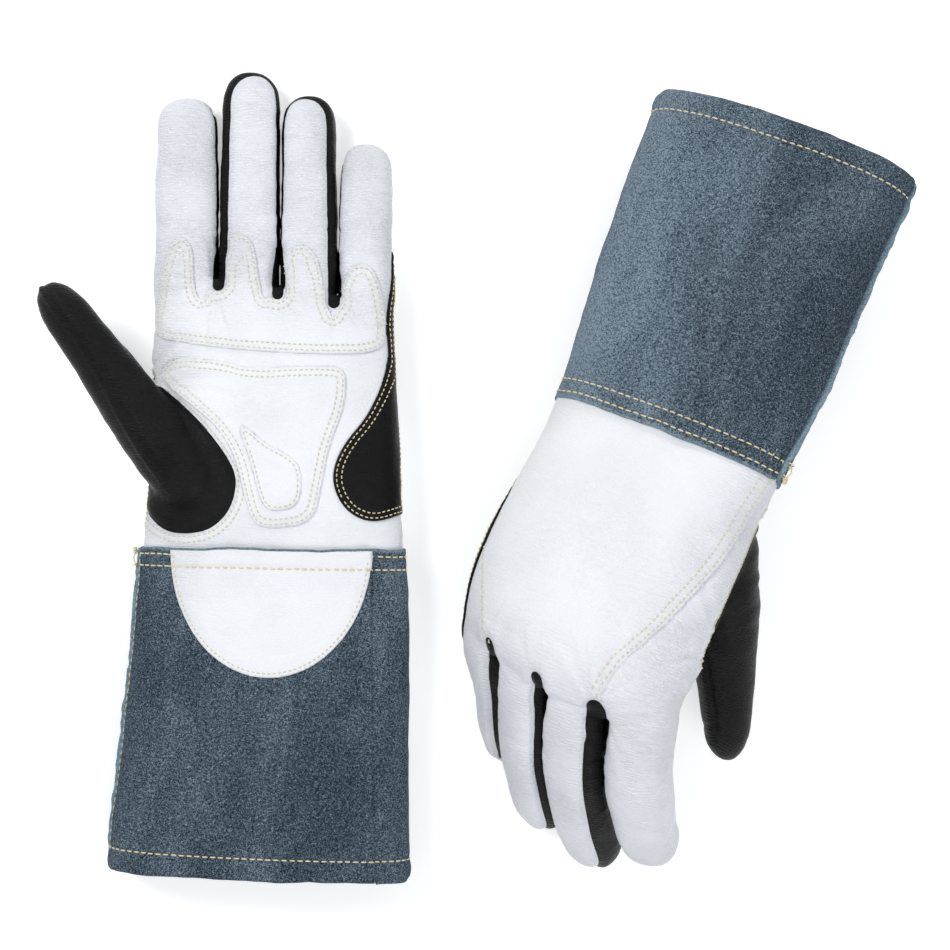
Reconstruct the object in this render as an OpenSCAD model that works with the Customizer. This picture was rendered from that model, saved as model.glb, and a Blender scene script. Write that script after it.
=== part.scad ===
// A pair of gauntlet welding gloves: white goatskin hands, black fourchettes
// and thumbs, and slate suede cuffs. The left glove lies straight and flat on
// its back with the palm up. The right glove lies palm down, half closed, on
// its cuff and fingertips. Millimetres, +Z up, both on z = 0.

/* [Hand] */
// Wrist seam to the fork between the middle and ring fingers
palm_len = 116; // [105:1:128]
// Index finger, from that fork to its tip
index_len = 87; // [76:1:96]
// Middle finger, from that fork to its tip
middle_len = 98; // [86:1:108]
// Ring finger, from that fork to its tip
ring_len = 88; // [78:1:98]
// Little finger, from that fork to its tip
little_len = 66; // [58:1:76]
// Width of the index finger, laid flat
index_w = 28.5; // [25:0.5:31]
// Width of the middle finger, laid flat
middle_w = 26.5; // [24:0.5:30]
// Width of the ring finger, laid flat
ring_w = 25; // [22:0.5:29]
// Width of the little finger, laid flat
little_w = 24.5; // [21:0.5:28]
// Thickness of a finger, laid flat
finger_t = 22; // [19:0.5:25]
// Space between two neighbouring fingers
finger_gap = 0.9; // [0.6:0.1:3]
// Thickness of the palm, laid flat
palm_t = 34; // [28:1:38]

/* [Thumb] */
// Thumb, from its root in the palm to its tip
thumb_len = 104; // [92:1:114]
// Width of the thumb at its widest
thumb_w = 32; // [28:0.5:36]
// Thickness of the thumb at its widest
thumb_t = 27; // [24:0.5:31]
// Distance of the thumb's root from the wrist seam
thumb_root = 32; // [26:1:38]

/* [Cuff] */
// Length of the gauntlet cuff
cuff_len = 146; // [110:1:165]
// Width of the cuff at its mouth, laid flat
mouth_w = 132; // [118:1:150]
// Thickness of the cuff at its mouth, laid flat
mouth_t = 40; // [34:1:50]
// Width of the glove at the wrist seam, laid flat
wrist_w = 116; // [106:1:126]
// Thickness of the glove at the wrist seam, laid flat
wrist_t = 31; // [27:1:36]
// Length of hand leather sewn inside the cuff
cuff_lap = 16; // [10:1:24]
// How far the back of the cuff wraps onto the palm side
cuff_wrap = 14; // [8:1:20]
// Width of the piping in the cuff's thumb-side seam
welt_w = 2.4; // [1.6:0.2:3.6]
// How far the piping stands out of that seam
welt_out = 2; // [1:0.2:3]

/* [Leather] */
// Thickness of the goatskin
leather_t = 1.2; // [0.9:0.1:1.8]
// Thickness of the cuff suede
suede_t = 1.6; // [1.2:0.1:2.2]
// Thickness of a reinforcing patch
patch_t = 1.2; // [0.9:0.1:1.8]
// Width of a fourchette strip along a finger
fourchette_w = 15; // [8:0.5:18]

/* [Patches] */
// Radius of the round end of the heel patch
heel_r = 18; // [13:1:21]
// Distance of that round end's centre from the wrist seam
heel_s = 31; // [26:1:38]
// Length of the heel patch, from that centre to its narrow tip
heel_len = 90; // [70:1:96]
// Width of the white wrist patch on the cuff
wrist_patch_w = 89; // [60:1:94]
// Depth of the white wrist patch on the cuff
wrist_patch_d = 56; // [40:1:70]
// Depth of the scallops of the upper palm patch
scallop = 24; // [14:1:28]
// Height of the upper palm patch below its scallops
upper_patch_d = 20; // [14:1:26]
// Length of the lower palm patch
lower_patch_len = 70; // [56:1:74]
// Length of the small centre patch
centre_patch_len = 33; // [24:1:40]

/* [Lay] */
// Clear space between the two gloves
pair_gap = 14; // [8:1:40]
// Lean of the right glove's cuff away from straight down the table
right_lean = 21.7; // [10:0.1:30]
// Bend of the right glove's fingers at the knuckles
right_curl = 38; // [30:1:42]

/* [Hidden] */

right = 0;
left = 1;

// ---------------------------------------------------------------------------
// Flat space: x runs across the hand with the thumb at -x, s runs along it from
// the wrist seam towards the fingertips, and h is the height above the middle
// of the hand, the back of the hand at +h. A glove's spine carries flat space
// to the table: it bends, turns and twists with the pose.

// How much narrower and thicker a filled glove is than one laid flat
width_share = [0.9, 1];
finger_width_share = [1.02, 1];
thickness_share = [1.36, 1];
finger_thickness_share = [1.18, 1];

finger_w = [index_w, middle_w, ring_w, little_w];
finger_len = [index_len, middle_len, ring_len, little_len];
function finger_width(g, i) = finger_w[i] * finger_width_share[g];
function palm_w(g) = total([for (i = [0:3]) finger_width(g, i)]) + 3 * finger_gap;

// Bends of a spine: [from s, to s, curl, turn to the thumb side, twist]
mcp = palm_len - 20;
pip = palm_len + 0.27 * middle_len;
dip = palm_len + 0.62 * middle_len;
bends = [
    [[-50, 15, 0, -4, 14], [mcp, mcp + 28, right_curl, 9, 0],
     [pip, pip + 20, 25, 3, 0], [dip, dip + 14, 15, 2, 0]],
    [[-30, 10, 0, 2.4, 0], [mcp, mcp + 28, -5, 0, 0]]
];
spine_step = 2;
spine_end = palm_len + middle_len + 20;

function total(v, i = 0) = i < len(v) - 1 ? v[i] + total(v, i + 1) : i < len(v) ? v[i] : 0;
// Bend of kind k per millimetre at station s
function rate(g, s, k) = total([for (b = bends[g]) s >= b[0] && s < b[1] ? b[k] / (b[1] - b[0]) : 0]);
// A frame is [centre, across, along, up]; each step carries it along and turns it
function curled(f, a) = [f[0], f[1], f[2] * cos(a) - f[3] * sin(a), f[3] * cos(a) + f[2] * sin(a)];
function turned(f, a) = [f[0], f[1] * cos(a) + f[2] * sin(a), f[2] * cos(a) - f[1] * sin(a), f[3]];
function twisted(f, a) = [f[0], f[1] * cos(a) - f[3] * sin(a), f[2], f[3] * cos(a) + f[1] * sin(a)];
function moved(f, d) = [f[0] + d * f[2], f[1], f[2], f[3]];
function next_frame(g, f, s) = moved(
    twisted(turned(curled(f, rate(g, s, 2) * spine_step), rate(g, s, 3) * spine_step),
            rate(g, s, 4) * spine_step), spine_step);

// The right glove's cuff rises to the wrist and leans to its little-finger side
right_rise = 8.5;
right_twist = 8;
first_frame = [
    twisted(curled([[0, 0, thickness_share[right] * mouth_t / 2 + suede_t + 2],
                    [-cos(right_lean), sin(right_lean), 0],
                    [-sin(right_lean), -cos(right_lean), 0], [0, 0, 1]],
                   -right_rise), right_twist),
    turned([[0, 0, mouth_t / 2 + suede_t - 1], [1, 0, 0], [0, 1, 0], [0, 0, -1]], -2.4)
];
steps = ceil((cuff_len + spine_end) / spine_step);
spine = [for (g = [right, left])
    [for (i = 0, f = first_frame[g]; i <= steps;
          f = next_frame(g, f, i * spine_step - cuff_len), i = i + 1) f]];

function blend(a, b, t) = a + (b - a) * t;
// Where a point of flat space lies on the table, before the gloves are set side by side
function laid(g, p) =
    let (u = (p[1] + cuff_len) / spine_step, i = max(0, min(steps - 1, floor(u))), t = u - i,
         a = spine[g][i], b = spine[g][i + 1])
    blend(a[0], b[0], t) + p[0] * blend(a[1], b[1], t) + p[2] * blend(a[3], b[3], t);
// The thumb doesn't follow the fingers' bend: it keeps the frame of its root
function laid_thumb(g, p) =
    let (c = laid(g, [0, thumb_root, 0]))
    c + p[0] * (laid(g, [1, thumb_root, 0]) - c) + (p[1] - thumb_root) * (laid(g, [0, thumb_root + 1, 0]) - c)
      + p[2] * (laid(g, [0, thumb_root, 1]) - c);
// What would sink into the table is pressed flat on it
function pressed(p, z) = [p[0], p[1], max(p[2], z)];

// ---------------------------------------------------------------------------
// Sections: a ring is a list of points round a tube, drawn in flat space

tube_sides = 14;
finger_sides = 8;

function rounded(v, e) = sign(v) * pow(abs(v), e);
function ring(c, across, up, w, t, e, n) =
    [for (i = [0:n - 1]) let (a = 360 * (i + 0.5) / n)
        c + across * rounded(cos(a), e) * w / 2 + up * rounded(sin(a), e) * t / 2];

// Width and thickness of the hand's outer skin at station s, grown by d
palm_w_at = [for (g = [right, left]) let (wrist = wrist_w * width_share[g], mouth = mouth_w * width_share[g])
    [[-cuff_len, mouth], [-0.45 * cuff_len, 0.62 * wrist + 0.38 * mouth], [0, wrist],
     [palm_len * 0.3, 0.5 * (palm_w(g) + wrist)], [palm_len * 0.7, palm_w(g)], [palm_len, palm_w(g) - 2]]];
palm_t_at = [[-cuff_len, mouth_t], [0, wrist_t], [palm_len * 0.35, palm_t],
             [palm_len * 0.8, palm_t * 0.94], [palm_len * 0.93, palm_t * 0.8],
             [palm_len, finger_t * 0.8]];
function hand_w(g, s, d) = lookup(s, palm_w_at[g]) + 2 * d;
function hand_t(g, s, d) = lookup(s, palm_t_at) * thickness_share[g] + 2 * d;
// The line of the finger forks slants down to the little finger
fork_slant = tan(8);
function slant(s, x) = s - x * fork_slant * pow(max(0, s / palm_len), 3);
function hand_ring(g, s, d) =
    [for (p = ring([0, s, 0], [1, 0, 0], [0, 0, 1], hand_w(g, s, d), hand_t(g, s, d), 0.8, tube_sides))
        [p[0], slant(s, p[0]), p[2]]];

// Middle of finger i across the hand, and its width
function finger_x(g, i) = -palm_w(g) / 2 + finger_width(g, i) / 2
    + total([for (k = [0:1:i - 1]) finger_width(g, k) + finger_gap]);
// Fork between finger i and the next one
function fork_x(g, i) =
    (finger_x(g, i) + finger_width(g, i) / 2 + finger_x(g, i + 1) - finger_width(g, i + 1) / 2) / 2;
function fork_s(g, i) = slant(palm_len, fork_x(g, i));

// Shares of a finger's width and thickness towards its rounded tip: [from the tip, share]
tip_shape = [[0, 0.42], [2.5, 0.72], [8, 0.94], [18, 1], [60, 1]];
finger_joints = [for (u = [-16, 4, 27, 56]) palm_len + u];
// The fingers' seams bend just past the skin's own joints
seam_joints = [for (s = finger_joints) s + 0.7];
function finger_stations(i) = let (tip = palm_len + finger_len[i])
    concat([for (s = finger_joints) if (s < tip - 12) s], [tip - 8, tip - 2.5, tip]);
// A finger starts inside the palm, a little narrower than it is outside
finger_root = 0.9;
function finger_ring(g, i, s, d) =
    let (share = lookup(palm_len + finger_len[i] - s, tip_shape) * (s == finger_joints[0] ? finger_root : 1),
         w = finger_width(g, i), t = finger_t * finger_thickness_share[g])
    ring([finger_x(g, i), s + (s >= palm_len + finger_len[i] - 3 ? d : 0), 0], [1, 0, 0], [0, 0, 1],
         w * share + 2 * d, t * share + 2 * d, 0.85, finger_sides);

// The thumb leaves the palm at an angle out to the side and down below the palm
thumb_out = [17, 36];
thumb_down = [40, 4];
function thumb_dir(g) = [-sin(thumb_out[g]) * cos(thumb_down[g]),
                         cos(thumb_out[g]) * cos(thumb_down[g]), -sin(thumb_down[g])];
function thumb_centre(g) = [-(palm_w(g) / 2 - 15), thumb_root,
                            -0.24 * hand_t(g, thumb_root, 0)];
// How far it rolls about its own length, towards the palm
thumb_roll = [20, 0];
function unit(v) = v / norm(v);
function level_across(g) = unit(cross(thumb_dir(g), [0, 0, 1]));
thumb_across = [for (g = [right, left])
    level_across(g) * cos(thumb_roll[g]) + cross(level_across(g), thumb_dir(g)) * sin(thumb_roll[g])];
thumb_stations = [-13, -2, 12, 30, 50, 68, 82, 95, 100];
thumb_share = [[-13, 0.6], [-2, 0.94], [24, 1], [54, 0.94], [82, 0.82], [95, 0.6], [100, 0.3]];
function thumb_ring(g, k, d) =
    let (u = thumb_stations[k], share = lookup(u, thumb_share), dir = thumb_dir(g),
         along = u / 100 * thumb_len + (k == len(thumb_stations) - 1 ? d : k == 0 ? -d : 0))
    ring(thumb_centre(g) + dir * along, thumb_across[g], unit(cross(thumb_across[g], dir)),
         thumb_w * share + 2 * d, thumb_t * share + 2 * d, 0.95, finger_sides);

// ---------------------------------------------------------------------------
// The two gloves are set side by side, with the middle of the pair over the origin

outline_s = [for (k = [0:8]) -cuff_len * (1 - k / 8)];
function skin_points(g) = [
    for (s = concat(outline_s, [palm_len * 0.4, palm_len * 0.7, palm_len * 0.9]))
        each [for (p = hand_ring(g, s, s <= 0 ? suede_t : 0)) laid(g, p)],
    for (s = outline_s) laid(g, [-hand_w(g, s, suede_t) / 2 - welt_out, s, 0]),
    for (i = [0:3]) for (s = finger_stations(i)) each [for (p = finger_ring(g, i, s, 0)) laid(g, p)],
    for (k = [0:len(thumb_stations) - 1]) each [for (p = thumb_ring(g, k, 0)) laid_thumb(g, p)]
];
skin = [skin_points(right), skin_points(left)];
function low(g, axis) = min([for (p = skin[g]) p[axis]]);
function high(g, axis) = max([for (p = skin[g]) p[axis]]);
function span(g, axis) = high(g, axis) - low(g, axis);
pair_w = span(left, 0) + pair_gap + span(right, 0);
// The leather is pressed flat where it bears on the table, by this much
bearing = [1, 4.8];
place = [
    [pair_w / 2 - high(right, 0), -(low(right, 1) + high(right, 1)) / 2, -low(right, 2) - bearing[right]],
    [-pair_w / 2 - low(left, 0), -(low(left, 1) + high(left, 1)) / 2, -low(left, 2) - bearing[left]]
];
function on_hand(g, points) = [for (p = points) laid(g, p) + place[g]];
function on_thumb(g, points) = [for (p = points) laid_thumb(g, p) + place[g]];

// ---------------------------------------------------------------------------
// Solids: a tube runs through a row of rings, and a cell spans two of them

// The left glove is the mirror image of the right, so its faces turn over
module tube(g, rings) {
    n = len(rings[0]);
    last = (len(rings) - 1) * n;
    hub = last + n;
    sides = [for (k = [0:n:last - 1]) for (i = [0:n - 1]) let (a = k + i, b = k + (i + 1) % n)
        each [[a, b, b + n], [a, b + n, a + n]]];
    ends = [for (i = [0:n - 1]) let (j = (i + 1) % n) each [[hub, j, i], [hub + 1, last + i, last + j]]];
    polyhedron(
        points = concat([for (r = rings) each r], [middle(rings[0]), middle(rings[len(rings) - 1])]),
        faces = [for (f = concat(sides, ends)) g == right ? f : [f[0], f[2], f[1]]]);
}
function middle(points) = total(points) / len(points);

module between(a, b, z = -far) {
    n = len(a);
    hull() polyhedron(
        points = [for (p = concat(a, b)) pressed(p, z)],
        faces = [[for (i = [0:n - 1]) i], [for (i = [2 * n - 1:-1:n]) i]]);
}

// A band of flat space through stations s, each with its own span across the
// hand, x, and all from height h[0] to h[1]
function window(s, x, h) = [[x[0], s, h[0]], [x[1], s, h[0]], [x[1], s, h[1]], [x[0], s, h[1]]];
module band(g, s, x, h)
    tube(g, [for (k = [0:len(s) - 1]) on_hand(g, window(s[k], x[k], h))]);
far = 80;
// Deeper than the hand, but short of the centre that the knuckles bend about
deep = 28;

// A plate cut to a convex outline of [x, s] points, from height h0 to h1
module plate(g, outline, h0, h1)
    between(on_hand(g, [for (p = outline) [p[0], p[1], h0]]), on_hand(g, [for (p = outline) [p[0], p[1], h1]]));

hand_stations = [-cuff_lap, 0, 15, palm_len * 0.3, palm_len * 0.6,
                 palm_len * 0.82, palm_len * 0.92, palm_len];
cuff_stations = [-cuff_len, -cuff_len * 0.62, -50, -cuff_lap * 2, -cuff_lap, 0];

// How high the skin grown by d rests above the table at station s
function rest_z(s, d) = max(0, (s <= 0 ? suede_t : 0) - d);

function rest(points, z) = [for (p = points) pressed(p, z)];
// The same stations, running past both ends
function past_ends(s, past) = [for (v = s) v + (v == s[0] ? -past : v == s[len(s) - 1] ? past : 0)];

module hand_tube(g, d, ends = [0, 0])
    tube(g, [for (s = hand_stations)
        rest(on_hand(g, hand_ring(g, s + (s == palm_len ? ends[1] : s == -cuff_lap ? ends[0] : 0), d)),
             rest_z(s, d))]);
module fingers(g, d)
    for (i = [0:3])
        tube(g, [for (s = finger_stations(i)) rest(on_hand(g, finger_ring(g, i, s, d)), rest_z(1, d))]);
module thumb(g, d)
    tube(g, [for (k = [0:len(thumb_stations) - 1]) rest(on_thumb(g, thumb_ring(g, k, d)), rest_z(1, d))]);
module cuff_tube(g, d, past = 0)
    tube(g, [for (s = past_ends(cuff_stations, past)) rest(on_hand(g, hand_ring(g, s, d)), rest_z(-1, d))]);

// The hand within its skin grown by d, from a way before its open wrist end
module hand(g, d, ends = [0, 0]) {
    hand_tube(g, d, ends);
    fingers(g, d);
    thumb(g, d);
}
module hand_shell(g)
    difference() {
        hand(g, 0);
        hand(g, -leather_t, [-5, -leather_t]);
    }

// ---------------------------------------------------------------------------
// Regions of the hand's skin that belong to one panel

// The back panel's seams start near the hand's two edges, and run in to the
// first and the last fork: [station, x as a share of half the palm's width]
thumb_seam = [[-30, -0.96], [2, -0.94], [palm_len * 0.32, -0.92], [palm_len * 0.62, -0.77]];
turn_s = palm_len * 0.62;
function thumb_seam_x(g, s) = s <= turn_s
    ? lookup(s, thumb_seam) * palm_w(g) / 2
    : blend(thumb_seam_x(g, turn_s), fork_x(g, 0), min(1, (s - turn_s) / (palm_len * 0.38)));
function little_seam_x(g, s) = s < turn_s
    ? far
    : blend(palm_w(g) / 2, fork_x(g, 2), min(1, (s - turn_s) / (palm_len * 0.32)));

module back_region(g) {
    s = concat([-30, 2, palm_len * 0.32, turn_s, palm_len * 0.8, palm_len * 0.94],
               [for (v = seam_joints) if (v > palm_len) v], [palm_len + middle_len + 2]);
    band(g, s, [for (v = s) [thumb_seam_x(g, v), little_seam_x(g, v)]], [0, far]);
}

// Strip i lines both fingers at fork i, goes over one fingertip and ends short
// of the other; it is deep and narrow in the fork itself
fork_w = 8;
// Length of a fingertip's end that a strip covers, or leaves bare
tip_cover = 9;
tips = [1, -1, 2];
module fourchette_region(g, i) {
    s0 = fork_s(g, i);
    x = fork_x(g, i);
    h = [-fourchette_w / 2, fourchette_w / 2];
    band(g, [s0 - 8, s0 + 2, s0 + 14],
          [[x - 2, x + 2], [x - fork_w / 2, x + fork_w / 2], [x - 1, x + 1]], [-deep, deep]);
    for (f = [i, i + 1]) {
        tip = palm_len + finger_len[f];
        end = f == tips[i] ? tip + 2 : tip - tip_cover;
        s = concat([s0 - 2], [for (v = seam_joints) if (v > s0 + 12 && v < end - 6) v], [end]);
        band(g, s, [for (v = s) [min(x, finger_x(g, f)), max(x, finger_x(g, f))]], h);
        if (f == tips[i])
            band(g, [tip - tip_cover, tip + 2],
                  [for (k = [0, 1]) [finger_x(g, f) - finger_w[f] / 2 - 1, finger_x(g, f) + finger_w[f] / 2 + 1]], h);
    }
}

// All three strips, with no parting where one meets the next on a fingertip
module fourchettes_region(g) {
    for (i = [0:2]) fourchette_region(g, i);
    for (f = [1, 2]) {
        s = palm_len + finger_len[f] - tip_cover;
        x = [min(finger_x(g, f), fork_x(g, 1)), max(finger_x(g, f), fork_x(g, 1))];
        band(g, [s - 2, s + 2], [x, x], [-fourchette_w / 2, fourchette_w / 2]);
    }
}

// The thumb and what lies within d of it
module thumb_region(g, d = 0.8)
    for (k = [0:len(thumb_stations) - 2])
        between(on_thumb(g, thumb_ring(g, k, d)), on_thumb(g, thumb_ring(g, k + 1, d)));
// How far the thumb's seam lies from its middle, towards its back
thumb_seam_h = 0.6;
// The half of the thumb on the side of the back of the hand, or on the palm's side
module thumb_half(g, side) between(on_thumb(g, thumb_slot(g, -20, side)), on_thumb(g, thumb_slot(g, 110, side)));
function thumb_slot(g, u, side) =
    let (up = unit(cross(thumb_across[g], thumb_dir(g))), a = thumb_across[g] * thumb_w,
         c = thumb_centre(g) + up * thumb_seam_h + thumb_dir(g) * u / 100 * thumb_len)
    [c - a, c + a, c + a + up * thumb_w * side, c - a + up * thumb_w * side];
// The skin of the palm and the fingers, open where the thumb is sewn in
module palm_skin(g)
    difference() {
        hand_shell(g);
        thumb_region(g);
    }

// ---------------------------------------------------------------------------
// Sub-parts

module back_panel(g) color("whitesmoke")
    difference() {
        intersection() { palm_skin(g); back_region(g); }
        fourchettes_region(g);
    }

module palm_panel(g) color("white")
    difference() {
        palm_skin(g);
        back_region(g);
        fourchettes_region(g);
    }

module index_middle_fourchette(g) color("#201f21")
    intersection() { palm_skin(g); fourchette_region(g, 0); }

module middle_ring_fourchette(g) color("#201f21")
    intersection() { palm_skin(g); fourchette_region(g, 1); }

module ring_little_fourchette(g) color("#201f21")
    intersection() { palm_skin(g); fourchette_region(g, 2); }

module thumb_back(g) color("#1c1b1d")
    intersection() { hand_shell(g); thumb_region(g); thumb_half(g, 1); }

module thumb_front(g) color("#28272a")
    intersection() { hand_shell(g); thumb_region(g); thumb_half(g, -1); }

// A layer of leather lying on the palm, from d below to d above the skin
module overlay(g, low, high)
    difference() {
        union() { hand_tube(g, high); fingers(g, high); }
        hand_tube(g, low);
        fingers(g, low);
        thumb_region(g, 2 * patch_t + 0.3);
        for (i = [0:2])
            band(g, [fork_s(g, i) - 9, palm_len + 40],
                  [for (k = [0, 1]) [fork_x(g, i) - fork_w / 2, fork_x(g, i) + fork_w / 2]], [-far, far]);
    }

// The heel patch is a teardrop on the little finger's edge of the hand
module heel_patch(g) color("#1c1b1d")
    intersection() {
        overlay(g, 0, patch_t);
        heel_region(g, 0);
    }
// Patches beside each other lie this far apart
patch_gap = 0.6;

// The teardrop and its neck, grown by d towards the palm
module heel_region(g, d) {
    edge = palm_w(g) / 2;
    neck = heel_s + heel_len / 2;
    r = heel_r + d;
    plate(g, concat([for (a = [120:20:340]) [edge - heel_r * 0.45 + r * cos(a), heel_s + r * sin(a)]],
                    [[edge + 20, heel_s - 4], [edge + 20, neck], [edge - 6 - d, neck]]), -far, 5);
    plate(g, [[edge - 6 - d, neck], [edge + 20, neck], [edge + 20, heel_s + heel_len],
              [edge - 0.5 - d, heel_s + heel_len], [edge - 2 - d, neck + heel_len / 5]], -far, 5);
}

// The upper palm patch runs across below the fingers, with a tongue up each of them
module upper_palm_patch(g) color("ghostwhite")
    difference() {
        intersection() {
            overlay(g, 0, patch_t);
            upper_palm_region(g);
        }
        heel_region(g, patch_gap);
    }
module upper_palm_region(g) {
    x0 = finger_x(g, 0) - finger_width(g, 0) * 0.36;
    x1 = finger_x(g, 3) + finger_width(g, 3) * 0.26;
    top = palm_len - 10;
    plate(g, [[x0, top - upper_patch_d + 5], [x0, slant(palm_len, x0) - 10],
              [x1, slant(palm_len, x1) - 10], [x1, top - upper_patch_d]], -far, -2);
    for (i = [0:3]) {
        c = finger_x(g, i);
        r = finger_width(g, i) * 0.34;
        foot = slant(palm_len, c) - 12;
        plate(g, concat([[c + r * 1.2, foot], [c - r * 1.2, foot]],
                        [for (a = [180:-30:0]) [c + r * cos(a), foot + scallop - r + r * sin(a)]]),
              -far, -2);
    }
}

// The lower palm patch narrows from the width of the palm to the heel, clear of the thumb
module lower_palm_patch(g) color("ghostwhite")
    intersection() {
        overlay(g, 0, patch_t);
        union() {
            w = width_share[g];
            top = palm_len - upper_patch_d - 14;
            foot = top - lower_patch_len;
            waist = foot + lower_patch_len * 0.55;
            plate(g, [[-17 * w, waist], [-46 * w, top - 9], [-43 * w, top], [34 * w, top - 5],
                      [35 * w, top - 9], [28 * w, waist]], -far, -2);
            plate(g, [[-17 * w, waist], [28 * w, waist], [20 * w, foot], [-3 * w, foot]], -far, -2);
        }
    }

// The centre patch is sewn on the lower one
module centre_patch(g) color("ghostwhite")
    intersection() {
        overlay(g, patch_t, 2 * patch_t);
        w = width_share[g];
        top = palm_len - 64;
        plate(g, [[-9 * w, top], [-w, top - centre_patch_len], [14 * w, top - centre_patch_len + 1],
                  [13 * w, top - centre_patch_len / 2], [0, top]], -far, -2);
    }

// ---------------------------------------------------------------------------
// The cuff is two suede panels, sewn over the hand at the wrist

module cuff_shell(g)
    difference() { cuff_tube(g, suede_t); cuff_tube(g, 0, 2); }
// Like the fingers' seams, the cuff's bend just past the skin's own joints
cuff_seam = [for (s = cuff_stations) s + (s == 0 || s == -cuff_len ? 0 : 1.3)];
// The palm panel lies between the piped thumb-side seam and the back's wrap
module cuff_palm_region(g) {
    s = past_ends(cuff_seam, 5);
    band(g, s, [for (v = s) [-hand_w(g, v, 5) / 2, hand_w(g, v, 0) / 2 - cuff_wrap]], [-deep - 4, -welt_w / 3]);
}
module welt_region(g, past = 0) {
    s = past_ends(cuff_seam, past);
    band(g, s, [for (v = s) let (side = -hand_w(g, v, suede_t) / 2) [side - welt_out, side + 6]],
         [-welt_w / 2, welt_w / 2]);
}

module cuff_back(g) color("slategray")
    difference() {
        cuff_shell(g);
        cuff_palm_region(g);
        welt_region(g, 2);
    }

module cuff_palm(g) color("#5b6a77")
    difference() {
        intersection() { cuff_shell(g); cuff_palm_region(g); }
        welt_region(g, 2);
    }

module cuff_welt(g) color("lightsteelblue")
    difference() { welt_region(g); cuff_tube(g, 0, 2); }

// A half ellipse of goatskin on the palm side of the cuff
module wrist_patch(g) color("white")
    intersection() {
        difference() { cuff_tube(g, suede_t + patch_t); cuff_tube(g, suede_t, 2); }
        plate(g, [for (a = [0:15:180]) [wrist_patch_w / 2 * width_share[g] * cos(a),
                                        -1 - wrist_patch_d * sin(a)]], -far, -2);
    }

back_panel(right);  // right_back_panel
palm_panel(right);  // right_palm_panel
index_middle_fourchette(right);  // right_index_middle_fourchette
middle_ring_fourchette(right);  // right_middle_ring_fourchette
ring_little_fourchette(right);  // right_ring_little_fourchette
thumb_back(right);  // right_thumb_back
thumb_front(right);  // right_thumb_front
heel_patch(right);  // right_heel_patch
upper_palm_patch(right);  // right_upper_palm_patch
lower_palm_patch(right);  // right_lower_palm_patch
centre_patch(right);  // right_centre_patch
cuff_back(right);  // right_cuff_back
cuff_palm(right);  // right_cuff_palm
wrist_patch(right);  // right_wrist_patch
cuff_welt(right);  // right_cuff_welt
back_panel(left);  // left_back_panel
palm_panel(left);  // left_palm_panel
index_middle_fourchette(left);  // left_index_middle_fourchette
middle_ring_fourchette(left);  // left_middle_ring_fourchette
ring_little_fourchette(left);  // left_ring_little_fourchette
thumb_back(left);  // left_thumb_back
thumb_front(left);  // left_thumb_front
heel_patch(left);  // left_heel_patch
upper_palm_patch(left);  // left_upper_palm_patch
lower_palm_patch(left);  // left_lower_palm_patch
centre_patch(left);  // left_centre_patch
cuff_back(left);  // left_cuff_back
cuff_palm(left);  // left_cuff_palm
wrist_patch(left);  // left_wrist_patch
cuff_welt(left);  // left_cuff_welt
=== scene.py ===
"""The look of a pair of welding gloves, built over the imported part.

Each glove is drawn in flat space, in millimetres: x runs across the hand from
its thumb side, s along it from the wrist towards the fingertips, and h is the
height, the back of the hand at +h. A spine then lays flat space on the table.
"""
import math

import bpy
import numpy as np
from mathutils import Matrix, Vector

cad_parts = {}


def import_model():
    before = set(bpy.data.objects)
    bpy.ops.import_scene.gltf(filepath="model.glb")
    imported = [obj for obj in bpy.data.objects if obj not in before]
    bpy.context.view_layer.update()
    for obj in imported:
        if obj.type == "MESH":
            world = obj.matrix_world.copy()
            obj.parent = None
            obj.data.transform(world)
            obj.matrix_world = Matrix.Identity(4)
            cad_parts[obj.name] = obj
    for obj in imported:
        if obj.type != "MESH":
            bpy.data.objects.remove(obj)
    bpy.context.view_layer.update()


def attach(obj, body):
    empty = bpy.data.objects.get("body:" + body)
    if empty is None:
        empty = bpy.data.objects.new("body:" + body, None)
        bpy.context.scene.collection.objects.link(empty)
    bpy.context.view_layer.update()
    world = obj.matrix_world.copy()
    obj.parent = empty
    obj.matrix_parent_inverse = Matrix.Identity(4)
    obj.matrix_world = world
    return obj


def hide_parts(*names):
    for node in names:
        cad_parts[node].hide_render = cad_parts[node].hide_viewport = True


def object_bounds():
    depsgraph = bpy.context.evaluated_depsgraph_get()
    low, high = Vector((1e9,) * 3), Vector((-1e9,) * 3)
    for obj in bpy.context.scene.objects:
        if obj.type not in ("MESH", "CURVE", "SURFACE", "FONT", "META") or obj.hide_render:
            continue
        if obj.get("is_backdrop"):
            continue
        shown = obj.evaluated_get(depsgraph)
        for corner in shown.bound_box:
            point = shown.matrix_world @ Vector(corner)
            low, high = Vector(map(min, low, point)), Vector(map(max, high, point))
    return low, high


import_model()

RIGHT, LEFT = 0, 1
SIDES = ("right", "left")
MM = 0.001

# Sizes of the part's source
PALM_LEN, PALM_T = 116.0, 34.0
FINGER_LEN = np.array([87.0, 98.0, 88.0, 66.0])
FINGER_W = np.array([28.5, 26.5, 25.0, 24.5])
FINGER_T, FINGER_GAP = 22.0, 0.9
THUMB_LEN, THUMB_W, THUMB_T, THUMB_ROOT = 104.0, 32.0, 27.0, 32.0
CUFF_LEN, MOUTH_W, MOUTH_T, WRIST_W, WRIST_T = 146.0, 132.0, 40.0, 116.0, 31.0
CUFF_LAP, CUFF_WRAP, LEATHER, SUEDE, PATCH = 16.0, 14.0, 1.2, 1.6, 1.2
WIDTH_SHARE, FINGER_WIDTH_SHARE = (0.9, 1.0), (1.02, 1.0)
THICK_SHARE, FINGER_THICK_SHARE = (1.36, 1.0), (1.18, 1.0)
KNUCKLE_SLANT = math.tan(math.radians(8))

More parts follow.
